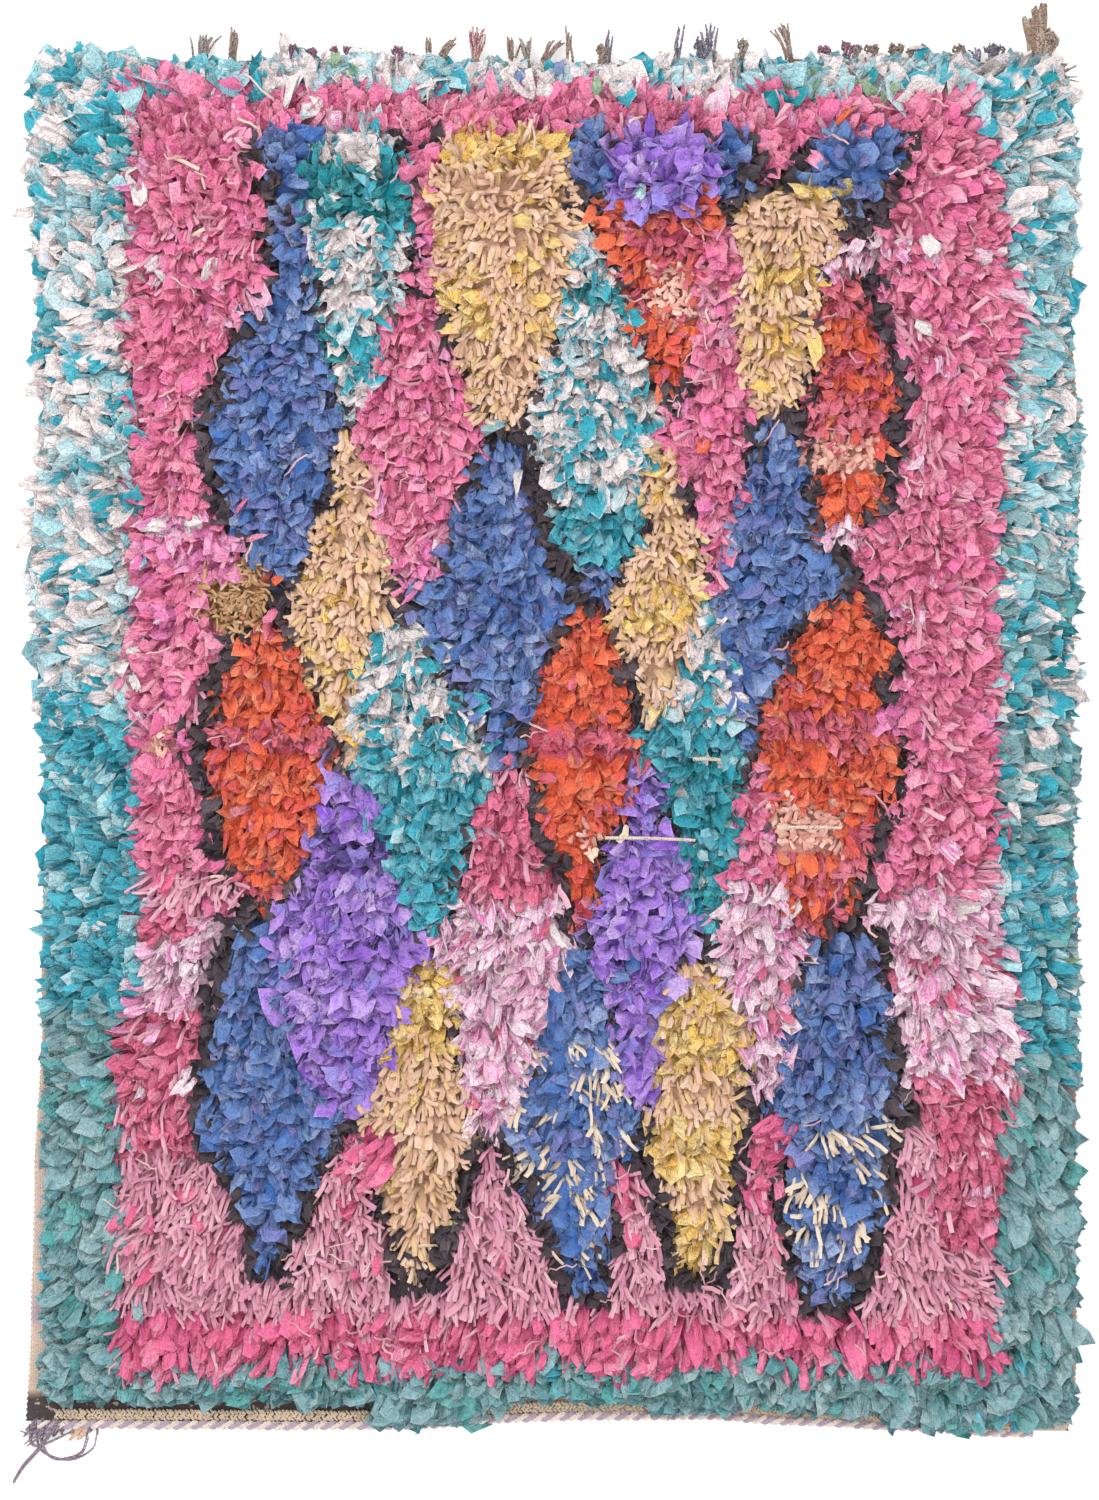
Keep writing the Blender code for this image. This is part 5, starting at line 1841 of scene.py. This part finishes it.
def thread_path(corners: Array, steps: int) -> Array:
    """Return a smooth path through corners, evenly spaced.

    Args:
        corners: The places that it passes through.
        steps: How many places to return.

    Returns:
        The path.
    """
    corners = np.asarray(corners, float)
    ends = np.concatenate([2 * corners[:1] - corners[1:2], corners, 2 * corners[-1:] - corners[-2:-1]])
    t = np.linspace(0, 1, 12, endpoint=False)[:, None]
    runs = []
    for a, b, c, d in zip(ends[:-3], ends[1:-2], ends[2:-1], ends[3:]):
        square, cube = 2 * a - 5 * b + 4 * c - d, 3 * b - a - 3 * c + d
        runs.append(0.5 * (2 * b + (c - a) * t + square * t**2 + cube * t**3))
    dense = np.concatenate([*runs, corners[-1:]])
    reach = np.concatenate([[0], np.cumsum(np.linalg.norm(np.diff(dense, axis=0), axis=1))])
    even = np.linspace(0, reach[-1], steps)
    return np.stack([np.interp(even, reach, dense[:, axis]) for axis in range(3)], axis=1)


def bowed(root: Array, ahead: Array, lift: tuple[float, float, float], steps: int) -> Array:
    """Return the path of a short yarn from its root, lifted at its middle."""
    return thread_path([root, root + ahead * 0.5 + lift, root + ahead], steps)


def path_frames(path: Array) -> tuple[Array, Array]:
    """Find the frames of a path, which turn with it as little as they can.

    Args:
        path: The path.

    Returns:
        Two directions square to the path at each of its places.
    """
    tangent = np.gradient(path, axis=0)
    tangent /= np.linalg.norm(tangent, axis=1)[:, None]
    normal = np.cross(tangent[0], (0.0, 0.0, 1.0))
    if np.linalg.norm(normal) < 0.1:
        normal = np.array((1.0, 0.0, 0.0))
    normals = []
    for ahead in tangent:
        normal = normal - ahead * (normal @ ahead)
        normal = normal / np.linalg.norm(normal)
        normals.append(normal)
    normals = np.array(normals)
    return normals, np.cross(normals, tangent)


@dataclass
class Spinner:
    """Spins plied yarn along paths, from strands with a square section."""

    rows: dict[int, Template] = field(default_factory=dict)
    ply_offset: float = 0.46
    ply_size: float = 0.62
    lowest: float = 0.0004

    def strand(self, steps: int) -> Template:
        """Roll a strand, once for each number of steps.

        Args:
            steps: Its number of steps.

        Returns:
            The strand's template.
        """
        if steps not in self.rows:
            self.rows[steps] = roll_strand(4, steps)
        return self.rows[steps]

    def spin(
        self, heap: Heap, path: Array, radius: float, rng: Draw, plies: int = 2,
        pitch: float = 0.009, tip: float = 0.6, flat: float = 1.0,
    ) -> None:
        """Add a yarn to a heap.

        Args:
            heap: The heap.
            path: The yarn's evenly spaced path.
            radius: The yarn's radius.
            rng: The draw.
            plies: How many plies it is twisted from.
            pitch: Its length for one turn of the plies.
            tip: The radius at its end, as a share.
            flat: How flat it is pressed, 1 for round.
        """
        template = self.strand(len(path) - 1)
        one, two = path_frames(path)
        run = np.concatenate([[0], np.cumsum(np.linalg.norm(np.diff(path, axis=0), axis=1))])
        size = radius * np.interp(np.linspace(0, 1, len(path)), (0, 0.7, 1), (1, 1, tip))
        start = rng.uniform(0, math.tau)
        across, _, rise = template.places.T
        row = template.row
        for ply in range(plies):
            turn = start + math.tau * (run / pitch + ply / plies)
            offset = size * (self.ply_offset if plies > 1 else 0.0)
            core = path + one * (offset * np.cos(turn))[:, None]
            core = core + two * (offset * np.sin(turn) * flat)[:, None]
            thick = size * (self.ply_size if plies > 1 else 1.0)
            points = core[row] + one[row] * (thick[row] * across)[:, None]
            points += two[row] * (thick[row] * rise * flat)[:, None]
            points[:, 2] = np.maximum(points[:, 2], self.lowest)
            spots = template.places.copy()
            spots[:, 2] = ply / max(plies - 1, 1)
            heap.add(template, points[None], spots[None], rng.random((1, 3)))


@dataclass
class GroundWeave:
    """The woven ground, with its weft turning round the outer warps at both sides."""

    outline: Outline
    rows: int = 480
    inner_columns: int = 17
    thick: float = 0.0032
    under: float = 0.0000
    turn_out: float = 0.001
    turn_up: float = 0.0008
    insets: tuple[float, ...] = (0.0, 0.003, 0.0075, 0.014, 0.026)
    seed: int = 3

    def build(self) -> bpy.types.Object:
        """Weave the ground.

        Returns:
            The ground.
        """
        steps = len(self.insets)
        columns = 2 * steps - 1 + self.inner_columns
        template = cut_flake(columns, self.rows, 1.0)
        column, row = template.column, template.row
        share = np.clip((column - steps + 1) / (self.inner_columns + 1), 0, 1)
        middle = self.outline.low[0] + (self.outline.high[0] - self.outline.low[0]) * share
        low, high = self.outline.y(-1, middle), self.outline.y(1, middle)
        y = low + (high - low) * template.places[:, 1]
        left, right = self.outline.x(-1, y), self.outline.x(1, y)
        inset = np.array(self.insets)
        left_in = left + inset[np.minimum(column, steps - 1)]
        right_in = right - inset[np.minimum(columns - column, steps - 1)]
        x = left_in + (right_in - left_in) * share
        from_side = np.minimum(column, columns - column)
        fade = np.interp(from_side, (0, 2, 4), (1, 0.8, 0.3))
        rib = np.where(row % 2 == 0, 1.0, -1.0) * fade
        side = np.where(column < columns / 2, -1.0, 1.0)
        x = x + side * rib * self.turn_out * (from_side == 0)
        top = template.places[:, 2] > -0.5
        z = np.where(top, self.thick + rib * self.turn_up - 0.0004, self.under)
        rim = (from_side == 0) | (row == 0) | (row == self.rows)
        z = np.where(rim, self.thick / 2, z)
        rng = np.random.default_rng(self.seed)
        heap = Heap("woven_ground")
        heap.add(template, np.stack([x, y, z], axis=1)[None], template.places[None], rng.random((1, 3)))
        return heap.build(GROUND_CLOTH.material(self.outline.high[1]), WEAVE_CREASE)


@dataclass
class EndBraid:
    """The twined cord at the lower end, and the speckled knots beside it."""

    outline: Outline
    spinner: Spinner
    ends: tuple[float, float] = (-0.671, 0.627)
    radius: float = 0.006
    gap: float = 0.0006
    pitch: float = 0.024
    flat: float = 0.7
    knots: tuple[float, float] = (-0.646, 0.6)
    knot_pitch: float = 0.0052
    knot_radius: tuple[float, float] = (0.0014, 0.0022)
    first_line: float = 0.0048
    line_pitch: float = 0.0042
    picks: tuple[tuple[tuple[float, float], tuple[float, float]], ...] = (
        ((0.069, -0.125), (0.186, -0.128)), ((0.183, -0.023), (0.218, -0.0235)),
        ((0.292, -0.112), (0.376, -0.112)),
    )
    pick_height: float = 0.033
    pick_top: float = 0.036
    pick_radius: float = 0.0026
    seed: int = 41

    def build(self) -> list[bpy.types.Object]:
        """Twine the cord, tie the knots, and lay the bare picks that show in the pile.

        Returns:
            The cord, and the knots with the picks.
        """
        rng = np.random.default_rng(self.seed)
        cord = Heap("twined_cord")
        x = np.linspace(*self.ends, 421)
        y = self.outline.y(-1, x) - self.radius * 0.5 - self.gap + 0.0006 * np.sin(x * 41)
        z = self.radius * self.flat + GROUND_TOP + 0.0004 * np.sin(x * 29 + 1)
        path = np.stack([x, y, z], axis=1)
        self.spinner.spin(cord, path, self.radius, rng, pitch=self.pitch, tip=0.8, flat=self.flat)
        knots = Heap("speckled_knots")
        for line in range(3):
            for x in np.arange(*self.knots, self.knot_pitch):
                x = x + rng.normal(0, 0.0005)
                y = float(self.outline.y(-1, x)) + self.first_line + self.line_pitch * line
                y += rng.normal(0, 0.0005)
                half = 0.0022
                lean = half * (1 if line % 2 else -1)
                corners = [(x - lean, y - half, 0.004), (x, y, 0.0056), (x + lean, y + half, 0.004)]
                radius = rng.uniform(*self.knot_radius)
                self.spinner.spin(knots, thread_path(corners, 4), radius, rng, plies=1, pitch=0.01, tip=0.8)
        for start, end in self.picks:
            x, y = (np.add(start, end) / 2).tolist()
            corners = [(*start, self.pick_height), (x, y + 0.001, self.pick_top), (*end, self.pick_height)]
            self.spinner.spin(knots, thread_path(corners, 60), self.pick_radius, rng, pitch=0.006, tip=0.8)
        edge = cord.build(CORD_YARN.material(), YARN_CREASE)
        wool = knots.build(SPECKLED_WOOL.material(), YARN_CREASE)
        return [dress(edge, ("end_braid",)), dress(wool, ())]


class Tie(Enum):
    """How a group of warp ends is left."""

    LOOSE = "loose"
    KNOT = "knot"
    BUNCH = "bunch"


@dataclass(frozen=True)
class Tuft:
    """A group of warp ends: its place along the end, its yarns, their length, lean and spread, its colour."""

    x: float
    yarns: int
    length: float
    lean: float
    spread: float
    colour: str
    tie: Tie = Tie.LOOSE
    radius: float = 0.0015


TUFTS = tuple(Tuft(*row) for row in (
    (-0.64, 3, 0.022, -0.006, 0.003, "grey"), (-0.458, 9, 0.034, 0.004, 0.005, "grey"),
    (-0.417, 4, 0.044, 0.001, 0.001, "brown", Tie.LOOSE, 0.0018),
    (-0.334, 3, 0.022, -0.002, 0.001, "plum", Tie.KNOT), (-0.316, 3, 0.018, 0.002, 0.001, "plum", Tie.KNOT),
    (-0.283, 4, 0.02, 0.000, 0.002, "plum", Tie.KNOT), (-0.268, 3, 0.022, 0.003, 0.001, "plum", Tie.KNOT),
    (-0.2, 4, 0.022, -0.003, 0.002, "plum", Tie.KNOT), (-0.192, 3, 0.014, 0.002, 0.001, "plum", Tie.KNOT),
    (-0.16, 3, 0.036, -0.002, 0.001, "brown"),
    (-0.146, 3, 0.03, 0.02, 0.001, "brown", Tie.LOOSE, 0.0019), (-0.1, 8, 0.044, 0.000, 0.005, "rose"),
    (-0.052, 6, 0.034, -0.004, 0.006, "brown"), (-0.03, 6, 0.034, 0.002, 0.006, "grey"),
    (-0.01, 6, 0.03, 0.014, 0.006, "brown"), (0.019, 3, 0.046, 0.000, 0.001, "brown"),
    (0.066, 7, 0.026, -0.002, 0.004, "brown", Tie.KNOT, 0.0021), (0.071, 3, 0.044, 0.004, 0.002, "slate"),
    (0.163, 3, 0.044, 0.006, 0.002, "slate"), (0.192, 7, 0.034, 0.002, 0.006, "slate", Tie.KNOT),
    (0.203, 5, 0.046, 0.001, 0.003, "slate"), (0.246, 6, 0.032, 0.003, 0.004, "grey", Tie.KNOT),
    (0.312, 8, 0.044, -0.012, 0.003, "brown"), (0.354, 4, 0.022, 0.000, 0.001, "plum", Tie.KNOT, 0.0018),
    (0.382, 5, 0.028, -0.002, 0.003, "plum", Tie.KNOT), (0.393, 4, 0.022, 0.003, 0.002, "grey", Tie.KNOT),
    (0.414, 4, 0.022, 0.002, 0.002, "brown", Tie.KNOT),
    (0.446, 5, 0.024, -0.001, 0.003, "brown", Tie.KNOT, 0.0019),
    (0.466, 4, 0.018, 0.002, 0.002, "brown", Tie.KNOT),
    (0.534, 4, 0.024, 0.000, 0.001, "brown", Tie.KNOT, 0.0018), (0.552, 3, 0.018, 0.002, 0.002, "slate"),
    (0.574, 6, 0.026, 0.002, 0.004, "slate", Tie.KNOT),
    (0.628, 6, 0.066, 0.000, 0.0035, "beige", Tie.BUNCH, 0.0034),
    (0.634, 5, 0.07, 0.006, 0.003, "beige", Tie.BUNCH, 0.003),
    (0.644, 3, 0.044, 0.012, 0.003, "beige", Tie.KNOT, 0.0026),
))

TAIL_LOOPS = (
    (
        (-66, -88.6, 0.3), (-67.2, -90.4, 0.5), (-66.4, -92.6, 0.7),
        (-63, -93.6, 0.8), (-60, -92.2, 0.6), (-59.4, -90, 0.4),
    ),
    (
        (-65.4, -88.6, 0.6), (-66.6, -91, 0.9), (-65, -93.4, 1),
        (-61.6, -92.8, 0.9), (-60.6, -90.6, 0.5),
    ),
    (
        (-66.8, -89, 0.4), (-68, -90.8, 0.6), (-67, -91.8, 0.9),
        (-64, -90.6, 0.8), (-61.6, -89.4, 0.5),
    ),
    ((-64.6, -88.4, 0.8), (-66.8, -89.8, 1.1), (-68.4, -90.2, 0.8), (-69.4, -90, 0.4)),
    ((-63.6, -88.6, 0.9), (-65.8, -90, 1.2), (-67.6, -91, 0.8), (-68.6, -91.8, 0.3)),
)
TAIL_LINE = (
    (-64.4, -88.6, 1), (-65.8, -90.8, 1.2), (-67.2, -92.6, 0.7), (-69, -94.6, 0.4), (-70.3, -96.7, 0.3),
)


@dataclass
class WarpEnds:
    """The warp ends past the upper end, knotted or loose, on their knotted strip."""

    outline: Outline
    spinner: Spinner
    strip: tuple[float, float] = (-0.668, 0.672)
    strip_steps: int = 341
    strip_height: float = 0.0062
    strip_radius: float = 0.0018
    strip_pitch: float = 0.012
    yarns_each: float = 1.5
    corner: tuple[float, float, float] = (0.652, 0.866, 0.01)
    corner_turns: tuple[float, ...] = (18, 32, 4, -10, 40)
    corner_length: float = 0.03
    pitch: float = 0.0085
    jersey_pitch: float = 0.12
    seed: int = 13

    def build(self) -> list[bpy.types.Object]:
        """Spin and tie the ends.

        Returns:
            A piece for each colour.
        """
        rng = np.random.default_rng(self.seed)
        heaps = {colour: Heap(f"warp_{colour}") for colour in WARP_YARNS}
        x = np.linspace(*self.strip, self.strip_steps)
        y = self.outline.y(1, x) + 0.001 + 0.0012 * np.sin(x * 63)
        path = np.stack([x, y, np.full(self.strip_steps, self.strip_height)], axis=1)
        self.spinner.spin(heaps["brown"], path, self.strip_radius, rng, pitch=self.strip_pitch, tip=0.8)
        for tuft in TUFTS:
            for _ in range(round(tuft.yarns * self.yarns_each)):
                self._end(heaps[tuft.colour], tuft, rng)
        for turn in np.radians(self.corner_turns):
            start = np.array(self.corner) + rng.normal(0, 0.003, 3) * (1, 1, 0.3)
            ahead = np.array((math.cos(turn), math.sin(turn), 0.05)) * self.corner_length
            self.spinner.spin(heaps["grey"], bowed(start, ahead, (0, 0, 0.003), 9), 0.0016, rng)
        pieces = [heap.build(WARP_YARNS[colour].material(), YARN_CREASE) for colour, heap in heaps.items()]
        return [dress(piece, ("warp_ends",)) for piece in pieces]

    def _end(self, heap: Heap, tuft: Tuft, rng: Draw) -> None:
        """Lay one warp end of a tuft, with its knot if it has one.

        Args:
            heap: The heap of its colour.
            tuft: The tuft.
            rng: The draw.
        """
        x = tuft.x + rng.normal(0, 0.003)
        y = float(self.outline.y(1, x)) - 0.004
        length = tuft.length * rng.uniform(0.85, 1.15) + 0.004
        fan = rng.normal(0, 1) * tuft.spread * 1.5
        low = 0.011 + tuft.radius
        high = low + rng.uniform(0.001, 0.006)
        corners = [
            (x, y, low), (x + fan * 0.2 + tuft.lean * 0.2, y + length * 0.3, high),
            (
                x + fan * 0.6 + tuft.lean * 0.6 + rng.normal(0, 0.0008), y + length * 0.7,
                high + rng.normal(0, 0.0015),
            ),
            (x + fan + tuft.lean + rng.normal(0, 0.001), y + length, 0.004 + rng.uniform(0, 0.006)),
        ]
        if tuft.tie is Tie.KNOT:
            size = tuft.radius * 2.0
            middle = np.array(corners[2])
            corners = [corners[0], corners[1]]
            for share in np.linspace(0, 1.4, 6):
                turn = share * math.tau + rng.uniform(-0.3, 0.3)
                ring = np.array((math.cos(turn), math.sin(turn), math.sin(turn * 1.3) * 0.6))
                corners.append(middle + ring * size)
            corners.append(middle + (rng.normal(0, 0.002), length * 0.2, 0.0))
        path = thread_path(corners, 15 if tuft.tie is Tie.KNOT else 11)
        pitch, flat = (self.jersey_pitch, 0.8) if tuft.tie is Tie.BUNCH else (self.pitch, 1.0)
        self.spinner.spin(heap, path, tuft.radius * 1.35, rng, pitch=pitch, tip=0.75, flat=flat)


@dataclass
class CornerTail:
    """The loops and the long tail of warp yarn at the lower left corner."""

    outline: Outline
    spinner: Spinner
    loop_radius: float = 0.0017
    tail_radius: float = 0.0019
    bundle: tuple[float, float, int] = (-0.674, -0.59, 22)
    bundle_radius: float = 0.0022
    scraps: int = 9
    scrap_radius: float = 0.0026
    seed: int = 23

    def build(self) -> list[bpy.types.Object]:
        """Spin the loops, the tail, the bundle and the small scraps beside them.

        Returns:
            The yarn and the scraps.
        """
        rng = np.random.default_rng(self.seed)
        grey, apricot = Heap("tail_yarn"), Heap("tail_tuft")
        for corners in TAIL_LOOPS:
            for _ in range(2):
                shift = rng.normal(0, 0.12, 3) * (1, 1, 0.5)
                path = thread_path((np.array(corners) + shift) * CM, 33)
                self.spinner.spin(grey, path, self.loop_radius, rng)
        for _ in range(3):
            shift = rng.normal(0, 0.09, 3) * (1, 1, 0.5)
            path = thread_path((np.array(TAIL_LINE) + shift) * CM, 37)
            self.spinner.spin(grey, path, self.tail_radius, rng)
        for start in np.linspace(*self.bundle):
            root = np.array((start, float(self.outline.y(-1, start)) + 0.002, 0.005))
            ahead = np.array((rng.uniform(-0.02, 0.004), -rng.uniform(0.012, 0.024), -0.002))
            self.spinner.spin(grey, bowed(root, ahead, (0, 0, 0.002), 9), self.bundle_radius, rng)
        for _ in range(self.scraps):
            root = np.array((-0.606 + rng.normal(0, 0.004), -0.886, 0.006))
            ahead = np.array((rng.uniform(-0.024, -0.004), -rng.uniform(0.012, 0.026), -0.003))
            path = bowed(root, ahead, (0.002, 0, 0.002), 7)
            self.spinner.spin(apricot, path, self.scrap_radius, rng, plies=1, pitch=0.01, tip=0.7, flat=0.6)
        pieces = [
            grey.build(LILAC_YARN.material(), YARN_CREASE),
            apricot.build(APRICOT_JERSEY.material(), YARN_CREASE),
        ]
        return [dress(piece, ("corner_tail",)) for piece in pieces]


GROUND_CLOTH = WovenFinish(
    "ground_cloth",
    (
        (-1.00, "4A4246"), (-0.965, "4A4246"), (-0.955, "F0D2BC"), (-0.86, "F6E0D0"), (-0.84, "C9B4C4"),
        (-0.81, "F4DCCC"), (-0.62, "F2DACC"), (-0.3, "E2C4A8"), (0.4, "D4AC88"), (0.44, "C48A4E"),
        (0.5, "D2B090"), (1.00, "DCC4AE"),
    ),
    (
        (-1.00, "EED8C8"), (-0.9, "E6CCB8"), (-0.7, "D8B89C"), (-0.45, "B89BA4"), (-0.31, "C99A76"),
        (-0.28, "7C83B4"), (-0.25, "C9A58C"), (-0.18, "8E8CB6"), (-0.14, "D2A98A"), (0.1, "CDA583"),
        (0.55, "CBA17E"),
        (0.8, "D6B79C"), (1.00, "CBB8AE"),
    ),
    "F0DDCB",
)
CORD_YARN = YarnFinish("cord_yarn", "EEDDD2", "BCA9B8", "8C7884", 0.22)
SPECKLED_WOOL = YarnFinish("speckled_wool", "F8E2C8", "F6E8DC", "77625A", 0.22)
LILAC_YARN = YarnFinish("lilac_yarn", "9B8C98", "7C6A76", "B9AABD", 0.3)
APRICOT_JERSEY = YarnFinish("apricot_jersey", "E3BFA4", "E9D0BC", "C79C84", 0.25)
WARP_YARNS = {
    "grey": YarnFinish("grey_yarn", "9C8F88", "6E625E", "C9BEB6", 0.35),
    "brown": YarnFinish("brown_yarn", "A08B80", "7C675C", "C6B4A6", 0.3),
    "plum": YarnFinish("plum_yarn", "9A5E70", "7E4C60", "B9A3BA", 0.35),
    "slate": YarnFinish("slate_yarn", "7E7888", "57515F", "B4B0BC", 0.35),
    "rose": YarnFinish("rose_yarn", "C08A92", "94505C", "DCCABE", 0.4),
    "beige": YarnFinish("beige_jersey", "C4AE9E", "A08A7C", "6A564A", 0.42),
}


# The stage


@dataclass
class Studio:
    """The pale floor, the soft light and the camera straight above."""

    picture: tuple[int, int] = (1099, 1500)
    metres_per_pixel: float = 0.0013
    middle: tuple[float, float] = (-0.0033, -0.011)
    height: float = 5.2
    pile_top: float = 0.022
    floor_size: float = 30.0
    floor_glow: float = 0.3
    sky: tuple[float, float, float, float] = (1.0, 0.985, 0.98, 1.0)
    sky_strength: float = 1.12
    sensor: float = 36.0
    lamps: tuple[tuple[str, tuple[float, float, float], float, float], ...] = (
        ("key_light", (-2.2, 2.6, 3.4), 2.2, 90.0), ("fill_light", (2.6, -1.4, 3.6), 3.0, 12.0),
    )

    def build(self) -> None:
        """Make the floor, the lights, the world and the camera."""
        self._floor()
        self._lights()
        self._camera()

    def _floor(self) -> None:
        """Lay the pale floor."""
        clear_selection()
        bpy.ops.mesh.primitive_plane_add(size=self.floor_size)
        floor = bpy.context.object
        floor.name = "floor"
        sheet = NodeSheet("pale_floor")
        shade = sheet.noise(sheet.place(), 3.0)
        colour = sheet.mix(shade, tone("F6F5F5"), tone("FAFAFA"))
        normal = sheet.bump(shade, 0.0001)
        fixed = {"Specular_IOR_Level": 0.1, "Emission_Strength": self.floor_glow}
        floor.data.materials.append(sheet.finished(colour, 0.9, normal, **fixed))

    def _lights(self) -> None:
        """Hang the soft lights and set the world."""
        world = bpy.data.worlds.new("studio")
        bpy.context.scene.world = world
        world.use_nodes = True
        sky = world.node_tree.nodes["Background"].inputs
        sky["Color"].default_value = self.sky
        sky["Strength"].default_value = self.sky_strength
        for name, place, size, power in self.lamps:
            light = bpy.data.lights.new(name, "AREA")
            light.shape = "DISK"
            light.size = size
            light.energy = power
            lamp = bpy.data.objects.new(name, light)
            bpy.context.scene.collection.objects.link(lamp)
            lamp.location = place
            lamp.rotation_euler = (-Vector(place)).to_track_quat("-Z", "Y").to_euler()

    def _camera(self) -> None:
        """Set the camera straight above, with the photo's frame."""
        lens = bpy.data.cameras.new("camera")
        camera = bpy.data.objects.new("camera", lens)
        bpy.context.scene.collection.objects.link(camera)
        long_side = self.picture[1] * self.metres_per_pixel
        camera.location = (*self.middle, self.height)
        lens.sensor_fit = "AUTO"
        lens.sensor_width = self.sensor
        lens.lens = lens.sensor_width * (self.height - self.pile_top) / long_side
        bpy.context.scene.camera = camera
        bpy.context.scene.view_settings.view_transform = "Standard"


def report() -> None:
    """Log how many triangles the scene's own pieces have."""
    total = 0
    for piece in bpy.context.scene.objects:
        if piece.type == "MESH" and BAKE_MAP in piece.data.uv_layers:
            total += sum(len(face.vertices) - 2 for face in piece.data.polygons)
    LOG.info("all dressed pieces: %d triangles", total)


def main() -> None:
    """Build the rug and its stage."""
    logging.basicConfig(level=logging.INFO, format="%(name)s %(message)s")
    outline = Outline()
    Studio().build()
    spinner = Spinner()
    PileBed(outline).build()
    RagPile(outline).build()
    ground = dress(GroundWeave(outline).build(), ("ground_weave",))
    edging = EndBraid(outline, spinner).build()
    edging += WarpEnds(outline, spinner).build()
    edging += CornerTail(outline, spinner).build()
    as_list(edging)
    report()


if __name__ == "__main__":
    main()
